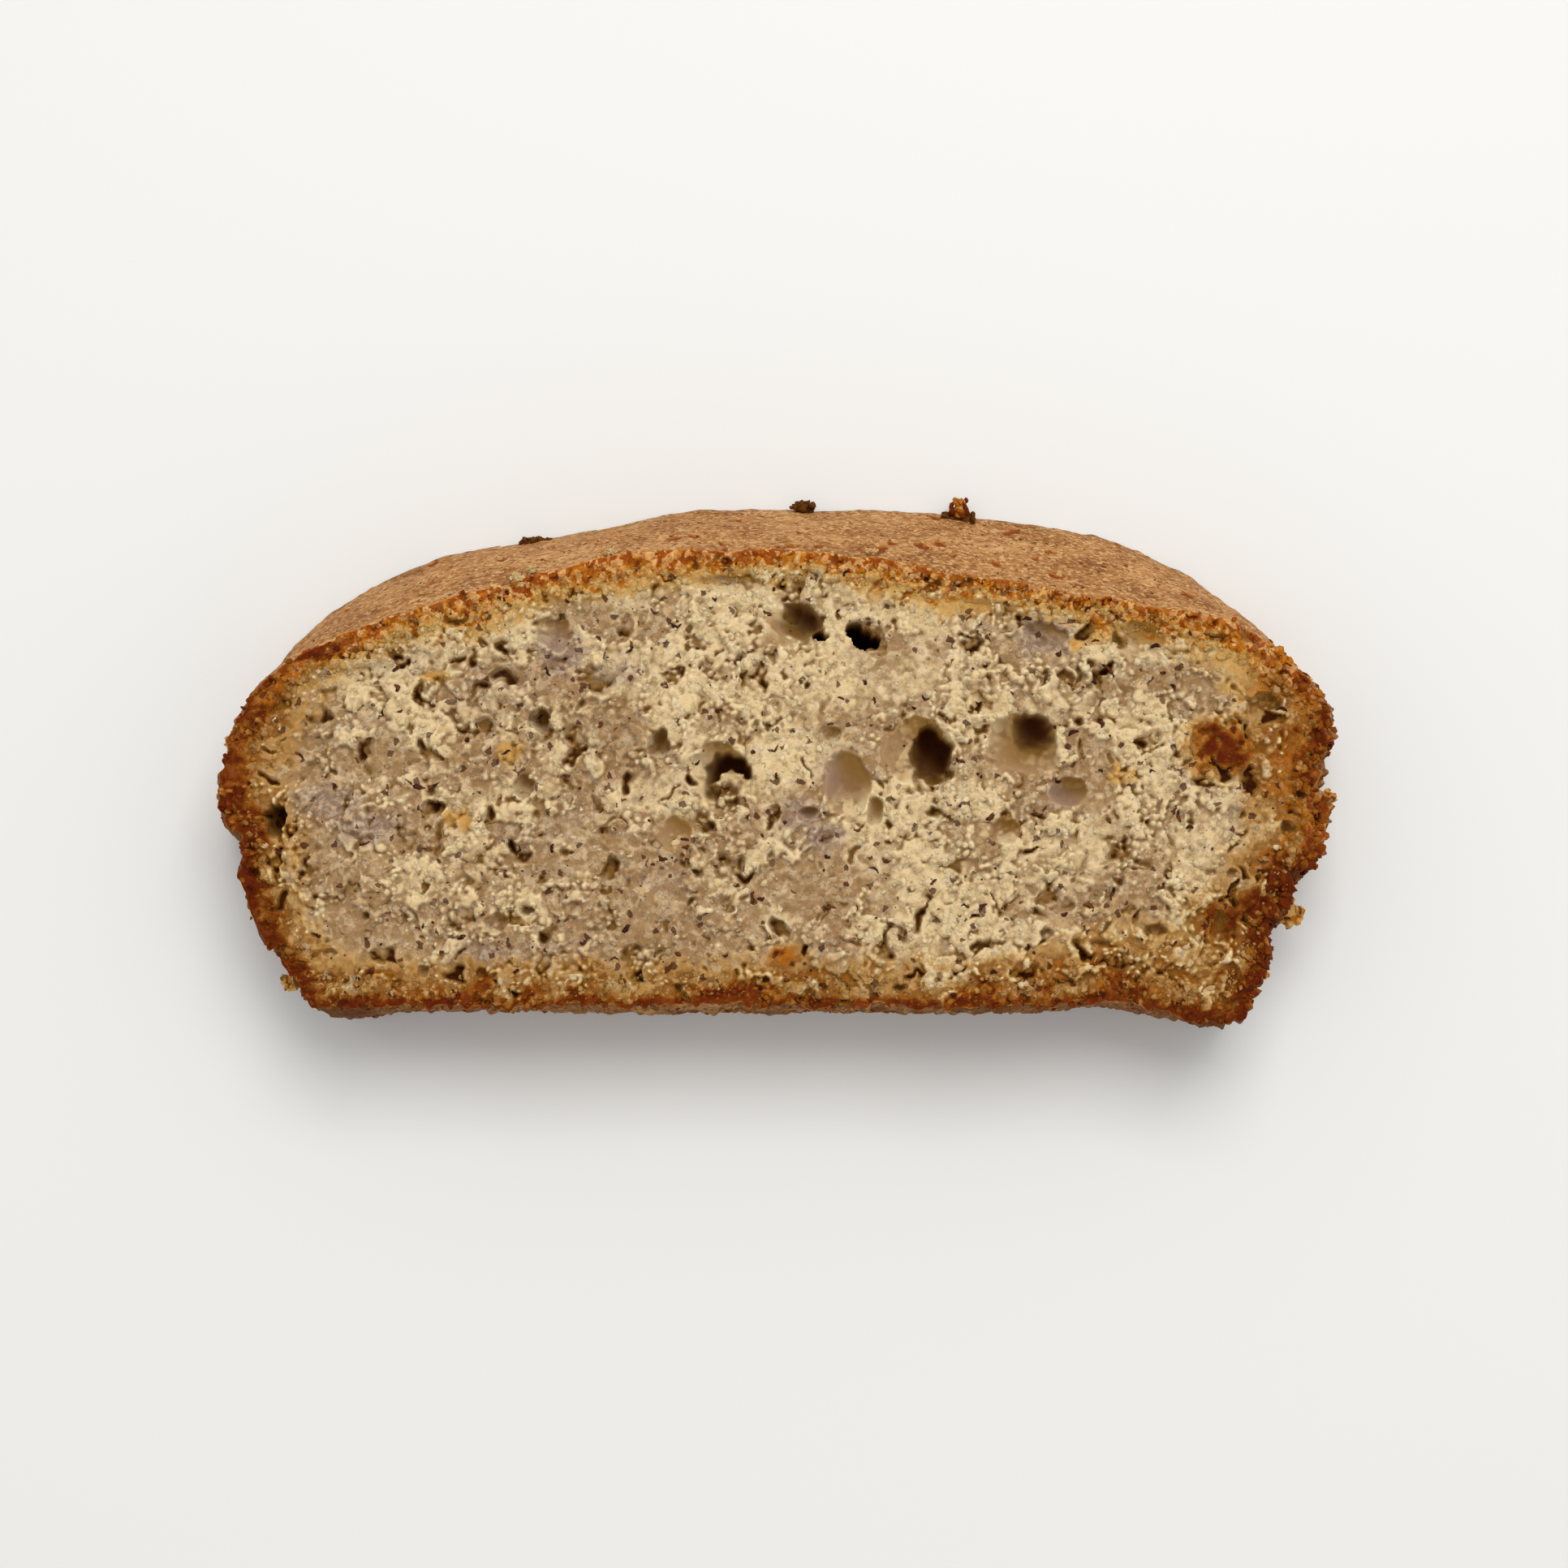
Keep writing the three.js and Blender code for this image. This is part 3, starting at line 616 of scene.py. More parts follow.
def browning(x, y, depth):
    """How far the crumb is toasted near the skin, and how dark the loaf baked on that side.

    Toast falls from 1 at the skin to 0 at the layer's reach, which is deeper at the sides and
    shallow over the base. Over the base, at both sides and at the lower right a golden zone
    follows it inwards. Bake adds up the left, the right below the dome, the base or the lower
    right, and patches of noise near the skin.
    """
    right = ramp(44.0, 57.0, x)
    base = ramp(-17.0, -25.0, y)
    left = ramp(-44.0, -60.0, x)
    low_left = left * ramp(0.0, -16.0, y)
    low_right = ramp(20.0, 40.0, x) * ramp(-9.0, -17.0, y)
    waver = 1 + 0.35 * noise(x / 6, y / 5, 89.5) + 0.2 * noise(x / 2.2, y / 2.2, 81.5)
    reach = (5.4 + 1.8 * right + 0.8 * left + 0.6 * low_left - 2.6 * base) * waver
    toast = ramp(reach, 0.0, depth)
    zone = ramp(7.5 + 4.0 * left + 6.0 * np.maximum(low_right, right), 1.5, depth)
    zone *= np.maximum(np.maximum(base, low_right), np.maximum(right, left))
    zone *= 0.85 + 0.5 * noise(x / 3.5, y / 3, 97.5)
    patchy = noise(x / 2.2, y / 1.8, 87.5) + 0.5 * noise(x / 0.9, y / 0.9, 95.5)
    patchy = ramp(-0.1, 0.5, patchy)
    bake = 0.1 + 0.75 * left + 0.4 * low_left + 0.7 * right * ramp(18.0, 4.0, y)
    bake += np.maximum(0.8 * base, 0.6 * low_right)
    bake = bake + 0.6 * patchy * ramp(3.2, 0.5, depth) - 0.15
    return np.maximum(toast, GOLDEN * zone), bake


def rim_notches(x, y, depth):
    """Small recesses torn in the crust's edge, 1 in their middles and 0 outside them."""
    notches = pits(x + 0.5 * noise(x, y, 61.5), y + 0.5 * noise(x, y, 63.5), 2.8, 0.4, 65)
    return notches * ramp(2.6, 1.2, depth)


FACES = {face: cut_face(face) for face in ("upper", "lower")}


def read_face(face, x, y):
    """The height and the tints of a cut face at any places on it."""
    return {name: read(table, MAP_STEP[face], x, y) for name, table in FACES[face].items()}


# ---- meshes


def make_mesh(name, points, *face_lists, rounded=True):
    """A closed mesh object at the origin, from points in mm and arrays of faces.

    Each array holds faces of one size, a row for each face. A rounded mesh is shaded smoothly.
    """
    placed = (np.asarray(points).reshape(-1, 3) - MIDDLE) * MM
    corners = np.concatenate([faces.ravel() for faces in face_lists])
    sizes = np.concatenate([np.full(len(faces), faces.shape[1]) for faces in face_lists])
    mesh = bpy.data.meshes.new(name)
    mesh.vertices.add(len(placed))
    mesh.vertices.foreach_set("co", placed.ravel())
    mesh.loops.add(len(corners))
    mesh.loops.foreach_set("vertex_index", corners)
    mesh.polygons.add(len(sizes))
    mesh.polygons.foreach_set("loop_start", np.cumsum(sizes) - sizes)
    mesh.polygons.foreach_set("use_smooth", np.full(len(sizes), rounded))
    mesh.update(calc_edges=True)
    piece = bpy.data.objects.new(name, mesh)
    bpy.context.scene.collection.objects.link(piece)
    return piece


def finish_piece(piece, tints, *materials):
    """Stores each tint as a number at every point, and makes the piece part of the bread."""
    for name, values in tints.items():
        layer = piece.data.attributes.new(name, "FLOAT", "POINT")
        layer.data.foreach_set("value", np.asarray(values, dtype=np.float32).ravel())
    for material in materials:
        piece.data.materials.append(material)
    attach(piece, "root")
    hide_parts("bread_slice")


def grid_quads(rows, columns, first=0):
    """The quads of a grid of points, numbered row by row from first."""
    i, j = np.meshgrid(np.arange(rows - 1), np.arange(columns - 1), indexing="ij")
    corner = first + i * columns + j
    return np.stack([corner, corner + columns, corner + columns + 1, corner + 1], -1).reshape(-1, 4)


# ---- the crumb

BLOCK_CELLS = (258, 330)  # of a block's upper face: across the loaf, and from base to dome
BLOCKS = ("crumb_left", "crumb_middle", "crumb_right")
TUCKS = np.array([0.4, 0.01])  # how deep a block's last columns are tucked in under the next one
COARSER_BELOW = 3  # one cell of the lower face for this many of the upper
CRUMB_INSET = 1.5  # how far inside the skin the crumb's own edge lies, under the crust
ON_CRUMB = 0.6  # the same for what is scattered on the crumb


def patch(face, u, v, inset):
    """Places on a cut face, for shares u from left to right and v from base to dome.

    Each is the blend of base and dome, plus the blend of the flanks, less the blend of the four
    corners. Near the edge it takes part in the crust's unevenness, and lies inset mm further in.
    """
    rim = RIMS[face]
    u, v = np.broadcast_arrays(u, v)
    base, dome = along(rim["base"], u), along(rim["dome"], u)
    left, right = along(rim["left"], v), along(rim["right"], v)
    a, b = u[..., None], v[..., None]
    low_corners = (1 - a) * rim["base"][0] + a * rim["base"][-1]
    high_corners = (1 - a) * rim["dome"][0] + a * rim["dome"][-1]
    places = base * (1 - b) + dome * b + left * (1 - a) + right * a
    places = places - low_corners * (1 - b) - high_corners * b
    edge = np.maximum(np.abs(2 * u - 1), np.abs(2 * v - 1)) ** 12
    x, y = places[..., 0], places[..., 1]
    ax, ay = outward(x, y)
    push = edge * (crust_push(x, y, float(face == "upper")) - inset)
    return x + ax * push, y + ay * push


def grid_edge(rows, columns):
    """The numbers of a grid's edge points, once round."""
    number = np.arange(rows * columns).reshape(rows, columns)
    return np.concatenate([number[:-1, 0], number[-1, :-1], number[:0:-1, -1], number[0, :0:-1]])


def crumb_block(block, material):
    """A block of the crumb: a fine grid above, a coarser one below, and a ring of six-sided faces
    between. Where it meets the next block both run on for two columns, tucked in under it."""
    across, rise = BLOCK_CELLS
    overlap = len(TUCKS)
    whole = len(BLOCKS) * across - 2 * overlap * (len(BLOCKS) - 1)
    start = block * (across - 2 * overlap)
    points, tints = [], []
    for face, coarser in (("upper", 1), ("lower", COARSER_BELOW)):
        u = (start + np.arange(0, across + 1, coarser))[:, None] / whole
        v = np.arange(0, rise + 1, coarser)[None] / rise
        x, y = patch(face, u, v, CRUMB_INSET)
        maps = read_face(face, x, y)
        z = maps.pop("height")
        tuck = np.zeros(len(u))
        if block > 0:
            tuck[:overlap] = TUCKS
        if block < len(BLOCKS) - 1:
            tuck[-overlap:] = TUCKS[::-1]
        z = THICKNESS + z - tuck[:, None] if face == "upper" else z + tuck[:, None]
        points.append(np.stack([x, y, z], -1).reshape(-1, 3))
        tints.append(maps)
    fine, coarse = (across + 1, rise + 1), (across // COARSER_BELOW + 1, rise // COARSER_BELOW + 1)
    above, below = grid_quads(*fine), grid_quads(*coarse, len(points[0]))[:, ::-1]
    ring = grid_edge(*fine).reshape(-1, COARSER_BELOW)
    ring = np.concatenate([ring, np.roll(ring[:, :1], -1, axis=0)], 1)
    low = len(points[0]) + grid_edge(*coarse)
    wall = np.concatenate([ring[:, ::-1], low[:, None], np.roll(low, -1)[:, None]], 1)
    piece = make_mesh(BLOCKS[block], np.concatenate(points), above, below, wall)
    joined = {name: np.concatenate([part[name].ravel() for part in tints]) for name in tints[0]}
    finish_piece(piece, joined, material)


# ---- the crust

CRUST_COLUMNS = 1320
CRUST_WALL_ROWS = 46
CRUST_EDGE_ROWS = 15
CRUST_WIDTH = 4.0  # how far in over the cut faces the crust's own surface reaches
PUSH_FADES = 3.0  # how far in from the skin its unevenness has dropped to a third
LOWEST = 0.02  # the lowest that a point of the crust lies over the floor


def section_lift(x, y, depth):
    """How far the crust stands above the crumb's relief, in mm: 0.3 at the skin, falling to 0.6
    below it at the inner edge, with crags of noise and torn notches."""
    lift = 0.3 - 0.9 * ramp(0.5, 1.0, depth / CRUST_WIDTH)
    crag = 0.45 * noise(x / 1.1, y / 1.1, 91.5) + 0.3 * noise(x / 0.55, y / 0.55, 93.5)
    crag -= 0.9 * rim_notches(x, y, depth)
    return lift + crag * ramp(0.0, 0.8, depth)


def band_places(level, inset, count):
    """Places round the crust at a level and an inset.

    The skin's unevenness fades inwards by exp(-inset / PUSH_FADES).
    """
    points, normals = outline(level, count)
    ax, ay = outward(*points.T)
    push = crust_push(*points.T, level) * np.exp(-inset / PUSH_FADES)
    return points.T + np.stack([ax, ay]) * push - normals.T * inset


def skin_relief(arc, z, x, y):
    """Unevenness of the baked skin in mm, and how far each place lies in a crumbly pit, 0 to 1.

    Swells of 11 and 3.6 mm and wrinkles of 1.5, less ragged pits 0.35 deep, plus torn crumbs of
    0.9 mm: faint on the dome, and rougher by the tin, on the base, at the upper rim and where the
    crust crumbled. arc is the distance round the slice, and z the height over the floor.
    """
    swell = 0.2 * noise(arc / 11, z / 8, 101.5) + 0.14 * noise(arc / 3.6, z / 2.4, 103.5)
    wrinkle = 0.16 * noise(arc / 1.5, z / 1.1, 105.5)
    torn = 0.5 * noise(arc / 1.4, z / 1.6, 111.5) + 0.25 * noise(arc / 0.6, z / 0.8, 113.5)
    hole = ramp(0.15, 0.8, pits(arc * 0.8 + 1.6 * torn, z * 0.7 + 1.2 * torn, 2.4, 0.2, 107))
    crumbled = ramp(*CRUMBLED_X, x) * ramp(16, 6, y)
    tin_side = ramp(18, 8, y)
    on_base = ramp(-22, -26, y)
    torn_rim = tin_side * ramp(14, 20, z)
    crumbly = 0.1 + 0.2 * tin_side + 0.3 * on_base + 0.7 * crumbled + 0.35 * torn_rim
    crumbly *= noise(arc / 0.9, z / 0.9, 109.5)
    return swell + wrinkle - 0.35 * hole + crumbly, hole


def crust_band(crumb_material, skin_material):
    """The crust: a section carried round the outline.

    The section climbs the baked skin, turns in over the upper cut face, drops inside the crumb
    and comes back out over the lower one. At the skin it lies a little above the crumb, and at
    its inner edge it dives under it, so that the two meet in a ragged line. The wall's rows are
    then shifted to follow the uneven edges of both faces, and its relief pushed outwards.
    """
    climb = np.linspace(0, 1, CRUST_WALL_ROWS)
    inward = CRUST_WIDTH * np.linspace(0, 1, CRUST_EDGE_ROWS + 1)[1:] ** 1.1
    back = inward[::-2]
    levels = np.concatenate([climb, np.ones(len(inward)), [0.8, 0.2], np.zeros(len(back))])
    insets = np.concatenate([np.zeros(len(climb)), inward, [CRUST_WIDTH] * 2, back])
    rows = [band_places(level, inset, CRUST_COLUMNS) for level, inset in zip(levels, insets)]
    x, y = np.array(rows).transpose(1, 0, 2)
    z = np.repeat(levels[:, None] * THICKNESS, CRUST_COLUMNS, 1)
    skin, hidden = len(climb), len(climb) + len(inward)
    tints = {name: np.zeros(x.shape) for name in TINTS}
    for face, part in (("upper", slice(skin - 1, hidden)), ("lower", slice(hidden + 2, None))):
        depth = distance_to(np.stack([x[part], y[part]], -1), SKIN_LINES[face])
        maps = read_face(face, x[part], y[part])
        height = maps.pop("height")
        lift = section_lift(x[part], y[part], depth)
        z[part] += height + lift if face == "upper" else np.maximum(height - 0.6 * lift, LOWEST)
        for name, values in maps.items():
            tints[name][part] = values
    wall = slice(0, skin)
    z[wall] = z[-1] + climb[:, None] * (z[skin - 1] - z[-1])
    row = np.clip(z[wall] / THICKNESS, 0, 1) * (skin - 1)
    lower = np.minimum(row.astype(int), skin - 2)
    x[wall], y[wall] = (
        np.take_along_axis(side, lower, 0) * (1 - row + lower)
        + np.take_along_axis(side, lower + 1, 0) * (row - lower)
        for side in (x[wall].copy(), y[wall].copy())
    )
    step = np.hypot(np.diff(x[0], append=x[0, :1]), np.diff(y[0], append=y[0, :1]))
    arc = np.broadcast_to(np.cumsum(step), x[wall].shape)
    relief, hole = skin_relief(arc, z[wall], x[wall], y[wall])
    ax, ay = outward(x[wall], y[wall])
    x[wall] += ax * relief
    y[wall] += ay * relief
    tin_side = ramp(22.0, 6.0, y[wall])
    patchy = noise(arc / 3.5, z[wall] / 2.6, 115.5) + 0.5 * noise(arc / 1.2, z[wall] / 1.1, 117.5)
    baked = browning(x[wall], y[wall], np.full(relief.shape, CRUST_WIDTH))[1]
    tints["bake"][wall] = np.clip(tin_side * (baked + 0.28 * patchy), 0, 1)
    tints["toast"][wall] = 1.0
    # On the skin the darkening tint marks only the rusty pits, their own colour, and paints no shade.
    tints["hollow"][wall] = hole

    count = len(levels)
    number = np.arange(count * CRUST_COLUMNS).reshape(count, CRUST_COLUMNS)
    around = np.roll(number, -1, axis=1)
    up, up_around = np.roll(number, -1, axis=0), np.roll(around, -1, axis=0)
    faces = np.stack([number, around, up_around, up], -1).reshape(-1, 4)
    piece = make_mesh("crust", np.stack([x, y, z], -1), faces)
    finish_piece(piece, tints, crumb_material, skin_material)
    on_skin = np.repeat((np.arange(count) < skin - 1).astype(np.int32), CRUST_COLUMNS)
    piece.data.polygons.foreach_set("material_index", on_skin)


# ---- scattered crumbs and strands

random = np.random.default_rng(seed=20)
LUMP_POINTS = 12


def turned(count):
    """Random rotation matrices, from random unit quaternions."""
    w, x, y, z = random.normal(size=(4, count))
    w, x, y, z = np.stack([w, x, y, z]) / np.sqrt(w**2 + x**2 + y**2 + z**2)
    rows = [
        [1 - 2 * (y * y + z * z), 2 * (x * y - z * w), 2 * (x * z + y * w)],
        [2 * (x * y + z * w), 1 - 2 * (x * x + z * z), 2 * (y * z - x * w)],
        [2 * (x * z - y * w), 2 * (y * z + x * w), 1 - 2 * (x * x + y * y)],
    ]
    return np.array(rows).transpose(2, 0, 1)


def lumps(centres, radii, roughness):
    """Small twenty-faced lumps, as one array of points and one of faces.

    A lump is two poles and two rings of five points, the second ring turned by half a step. Each
    point is moved in or out at random by a share of the radius, then all are stretched and turned.
    """
    turn = np.arange(5) * math.tau / 5
    ring = 2 / math.sqrt(5)
    upper = np.stack([ring * np.cos(turn), ring * np.sin(turn), np.full(5, ring / 2)], -1)
    ball = np.concatenate([[[0, 0, 1]], upper, [[0, 0, -1]], -upper])
    count = len(centres)
    size = 1 + roughness * random.uniform(-1, 1, (count, LUMP_POINTS, 1))
    stretched = ball[None] * size * radii[:, None, :]
    points = centres[:, None] + np.einsum("nij,npj->npi", turned(count), stretched)
    # Point 0 is a pole, 1 to 5 its ring, 6 the other pole and 7 to 11 the other ring.
    k = np.arange(5)
    top, top_after = 1 + k, 1 + (k + 1) % 5
    low, low_after = 7 + (k + 2) % 5, 7 + (k + 3) % 5
    triples = (
        (0 * k, top, top_after),
        (0 * k + 6, 7 + (k + 1) % 5, 7 + k),
        (top, low_after, top_after),
        (top, low, low_after),
    )
    faces = np.concatenate([np.stack(triple, -1) for triple in triples])
    first = LUMP_POINTS * np.arange(count)[:, None, None]
    return points, (faces[None] + first).reshape(-1, 3)


def add_lumps(name, shapes, tints, material, rounded=True):
    """Makes a piece of lumps, from their points and faces. A lump has one value of each tint."""
    tints = {tint: np.repeat(np.clip(shade, 0, 1), LUMP_POINTS) for tint, shade in tints.items()}
    finish_piece(make_mesh(name, *shapes, rounded=rounded), tints, material)


def upper_ground(x, y):
    """Height above the floor of what shows on the upper cut face, and its tints."""
    depth = distance_to(np.stack([x, y], -1), SKIN_LINES["upper"])
    tints = read_face("upper", x, y)
    lift = np.maximum(section_lift(x, y, depth), 0) * (depth < CRUST_WIDTH)
    return THICKNESS + tints.pop("height") + lift, tints


def random_sizes(count, smallest, largest):
    """Three half-widths for each lump, from smallest + (largest - smallest) * t^2.4: most small."""
    size = smallest + (largest - smallest) * random.random(count) ** 2.4
    return size[:, None] * random.uniform(0.6, 1.3, (count, 3))


def crumbs_on_face(name, material, count, smallest, largest):
    """Loose crumbs that lie half sunk on the torn crumb.

    Of twice as many places those are kept that are keen to have one: bright and standing up, not
    in a hollow or a smear of banana. Each crumb takes its place's tints, a little off them.
    """
    u, v = random.uniform(0.008, 0.992, (2, count * 2))
    x, y = patch("upper", u, v, ON_CRUMB)
    z, tints = upper_ground(x, y)
    keen = 0.55 + 0.6 * tints["butter"] - 2.0 * tints["hollow"] - 1.4 * (tints["banana"] > 0.62)
    chosen = np.argsort(random.random(len(x)) - keen)[:count]
    radii = random_sizes(count, smallest, largest)
    centres = np.stack([x[chosen], y[chosen], z[chosen] - 0.1 * radii.mean(1)], -1)
    shapes = lumps(centres, radii, 0.4)
    tone = random.uniform(-0.3, 0.4, count)
    tints = {tint: shade[chosen] for tint, shade in tints.items()}
    tints["butter"] += tone
    tints["toast"] += 0.3 * tone * (tints["toast"] > 0.1)
    add_lumps(name, shapes, tints, material)


ROUND_THE_RIM = 3000  # places round the slice that a crumb on the crust may have
SHARE_ON_RIM = 0.62


def crumbs_on_crust(material, count):
    """Browned crumbs along the rim of the upper cut face and down the torn right-hand side.

    A crumb on the side is drawn to where the crust crumbled, and a few to where the tin was.
    """
    insets = np.linspace(-0.1, 3.4, 18)
    rim = np.array([band_places(1.0, inset, ROUND_THE_RIM) for inset in insets])
    levels = np.linspace(0.12, 1.0, 30)
    side = np.array([band_places(level, 0.0, ROUND_THE_RIM) for level in levels])
    on_rim = int(count * SHARE_ON_RIM)
    row = random.integers(0, len(insets), on_rim)
    column = random.integers(0, ROUND_THE_RIM, on_rim)
    x, y = rim[row, :, column].T
    z = upper_ground(x, y)[0]
    depth = insets[row]
    crumbled = ramp(46, 58, side[..., 0, :]) * ramp(16, 8, side[..., 1, :])
    tin = 0.05 * ramp(20, 10, side[..., 1, :])
    weight = crumbled + tin
    flat = random.choice(weight.size, count - on_rim, p=weight.ravel() / weight.sum())
    row, column = np.unravel_index(flat, weight.shape)
    side_x, side_y = side[row, :, column].T
    x, y = np.concatenate([x, side_x]), np.concatenate([y, side_y])
    z = np.concatenate([z, levels[row] * THICKNESS])
    depth = np.concatenate([depth, np.zeros(len(row))])
    radii = random_sizes(count, 0.1, 0.6) * (0.7 + 0.5 * ramp(44, 56, x))[:, None]
    centres = np.stack([x, y, np.maximum(z - 0.15 * radii.mean(1), 0.4)], -1)
    shapes = lumps(centres, radii, 0.42)
    toast, bake = browning(x, y, depth)
    tone = random.uniform(-0.35, 0.1, count)
    tints = {tint: np.zeros(count) for tint in TINTS}
    tints.update(toast=toast + tone, bake=bake - 0.5 * tone)
    add_lumps("crust_crumbs", shapes, tints, material, rounded=False)


# Strands that stand out in the crumb: x, y, length, direction in degrees.
LONG_STRANDS = (
    (-41.2, -2.9, 4.3, -7),
    (-46.1, 5.3, 1.5, 60),
    (-55.6, 0.5, 1.7, -35),
    (38.5, 10.4, 2.3, -50),
    (37.5, 4.2, 1.3, -70),
    (-41.2, -19.3, 1.6, 30),
    (17.1, -16.9, 1.5, 50),
    (-2.9, -16.0, 1.6, 80),
    (38.8, -15.6, 1.8, 70),
    (30.3, -6.0, 2.4, 25),
)
STRAND_STATIONS = np.array([-1, -0.75, -0.38, 0, 0.38, 0.75, 1])
STRAND_SIDES = 4


def banana_strands(material, count):
    """Dark strands of banana, lying in the crumb's surface and bending with it.

    A strand is a ring of four points at each of its inner stations, along a gently bent line, and
    a point at either end. Its radius is r * (1 - s^2)^0.4, with s from -1 to 1 along it.
    """
    u, v = random.uniform(0.03, 0.97, (2, count))
    x, y = patch("upper", u, v, ON_CRUMB)
    length = random.uniform(0.7, 1.7, count) * random.uniform(0.6, 1.1, count)
    heading = np.radians(random.normal(0, 45, count))
    named = np.array(LONG_STRANDS, dtype=float).T
    x, y = np.concatenate([x, named[0]]), np.concatenate([y, named[1]])
    length = np.concatenate([length, named[2]])
    heading = np.concatenate([heading, np.radians(named[3])])
    count = len(x)
    s = STRAND_STATIONS
    bend = random.uniform(-0.35, 0.35, count)
    along_it = s * length[:, None] / 2
    aside = (s**2 - 0.5) * (bend * length)[:, None]
    wiggle = random.uniform(-0.08, 0.08, (count, len(s)))
    off_it = aside + wiggle
    cosine, sine = np.cos(heading)[:, None], np.sin(heading)[:, None]
    px = x[:, None] + cosine * along_it - sine * off_it
    py = y[:, None] + sine * along_it + cosine * off_it
    pz, tints = upper_ground(px, py)
    pz = np.maximum(pz, pz.mean(1, keepdims=True) - 0.2)
    radius = random.uniform(0.14, 0.32, count)[:, None] * (1 - s**2) ** 0.4
    turn = np.arange(STRAND_SIDES) * math.tau / STRAND_SIDES
    across = radius[..., None] * np.cos(turn)
    rise = 0.6 * radius[..., None] * np.sin(turn)
    ring_x = px[..., None] - sine[..., None] * across
    ring_y = py[..., None] + cosine[..., None] * across
    rings = np.stack([ring_x, ring_y, pz[..., None] + rise], -1)
    ends = rings[:, [0, -1], :1]
    points = np.concatenate([rings[:, 1:-1].reshape(count, -1, 3), ends.reshape(count, 2, 3)], 1)
    k = np.arange(STRAND_SIDES)
    k_after = (k + 1) % STRAND_SIDES
    start = STRAND_SIDES * (len(s) - 2)
    ring = STRAND_SIDES * np.arange(len(s) - 3)[:, None]
    here, after = ring + k, ring + k_after
    quads = np.stack([here, here + STRAND_SIDES, after + STRAND_SIDES, after], -1).reshape(-1, 4)
    last = start - STRAND_SIDES
    first_tip = np.stack([0 * k + start, k, k_after], -1)
    last_tip = np.stack([0 * k + start + 1, last + k_after, last + k], -1)
    tips = np.concatenate([first_tip, last_tip])
    first = (start + 2) * np.arange(count)[:, None, None]
    faces = (quads[None] + first).reshape(-1, 4), (tips[None] + first).reshape(-1, 3)
    finish_piece(make_mesh("banana_strands", points, *faces), {}, material)


def dark_specks(material, count):
    """Tiny dark seeds and fibres of banana, in loose groups over the upper cut face."""
    u, v = random.uniform(0.02, 0.98, (2, count))
    x, y = patch("upper", u, v, ON_CRUMB)
    drawn = noise(x / 6, y / 6, 121.5) > -0.25
    x = np.where(drawn, x, np.roll(x, 1) + random.normal(0, 0.8, count))
    y = np.where(drawn, y, np.roll(y, 1) + random.normal(0, 0.8, count))
    z = upper_ground(x, y)[0]
    radii = random_sizes(count, 0.09, 0.28)
    add_lumps("banana_specks", lumps(np.stack([x, y, z], -1), radii, 0.3), {}, material)


# Crumbs baked on to the outline: curve, share along it, height up the side, distance out from it,
# half-widths, and how burnt: below 0 it is pale.
STUCK_CRUMBS = (
    ("dome", 0.52, 1.7, 0.6, (1.9, 0.8, 1.3), 1.0),
    ("dome", 0.684, 1.5, 0.5, (2.4, 0.9, 1.3), 1.0),
    ("dome", 0.684, 2.4, 1.9, (1.5, 1.5, 1.3), 0.6),
    ("dome", 0.24, 1.5, -0.1, (2.6, 0.6, 0.8), 1.0),
    ("dome", 0.197, 19.8, 0.0, (1.1, 1.1, 0.5), -1.1),
    ("dome", 0.215, 19.4, 0.6, (0.8, 0.6, 0.5), -1.1),
    ("dome", 0.3, 19.6, 0.5, (0.7, 0.5, 0.4), -1.1),
    ("dome", 0.59, 19.4, 0.6, (1.0, 0.4, 0.4), -1.1),
    ("left", 0.62, 17.4, 0.0, (0.9, 0.9, 0.9), 0.1),
    ("left", 0.06, 15.0, 0.6, (1.9, 1.0, 1.1), 0.2),
    ("right", 0.21, 13.5, 0.8, (2.2, 2.0, 1.4), 0.0),
    ("right", 0.06, 17.2, 0.0, (1.2, 1.0, 1.0), 0.2),
    ("right", 0.50, 17.6, -0.3, (1.3, 1.4, 1.2), 0.2),
)
LUMPS_IN_CRUMB = 34
LOWEST_CRUMB = 0.05  # the lowest that a baked-on crumb's point lies over the floor


def stuck_crumbs(material):
    """The crumbs baked on to the outline: each a heap of small lumps inside an ellipsoid.

    A burnt one is toasted and baked dark, and one at -1.1 stays pale.
    """
    middles, sizes, burnt = [], [], []
    for curve, share, height, off, size, burn in STUCK_CRUMBS:
        level = height / THICKNESS
        low, high = (along(RIMS[face][curve], np.array([share]))[0] for face in ("lower", "upper"))
        x, y = low * (1 - level) + high * level
        ax, ay = outward(x, y)
        push = crust_push(x, y, level) + off
        middles.append((x + ax * push, y + ay * push, height))
        sizes.append(size)
        burnt.append(burn)
    middles, sizes, burnt = (np.repeat(part, LUMPS_IN_CRUMB, 0) for part in (middles, sizes, burnt))
    count = len(middles)
    inside = random.normal(size=(count, 3))
    inside /= np.linalg.norm(inside, axis=1, keepdims=True)
    inside *= random.random((count, 1)) ** 0.5
    centres = middles + 0.8 * inside * sizes
    radii = sizes.mean(1, keepdims=True) * random.uniform(0.2, 0.42, (count, 3))
    points, faces = lumps(centres, radii, 0.35)
    points[..., 2] = np.maximum(points[..., 2], LOWEST_CRUMB)
    tone = random.uniform(-0.2, 0.2, count)
    tints = {tint: np.zeros(count) for tint in TINTS}
    tints.update(toast=0.6 + 0.4 * burnt + tone, bake=1.2 * burnt + tone)
    # Burnt crumbs are darkened by the same tint that paints shade on the cut face.
    tints.update(butter=np.full(count, 0.5), hollow=0.8 * (burnt > 0.9))
    add_lumps("stuck_crumbs", (points, faces), tints, material, rounded=False)


# ---- materials

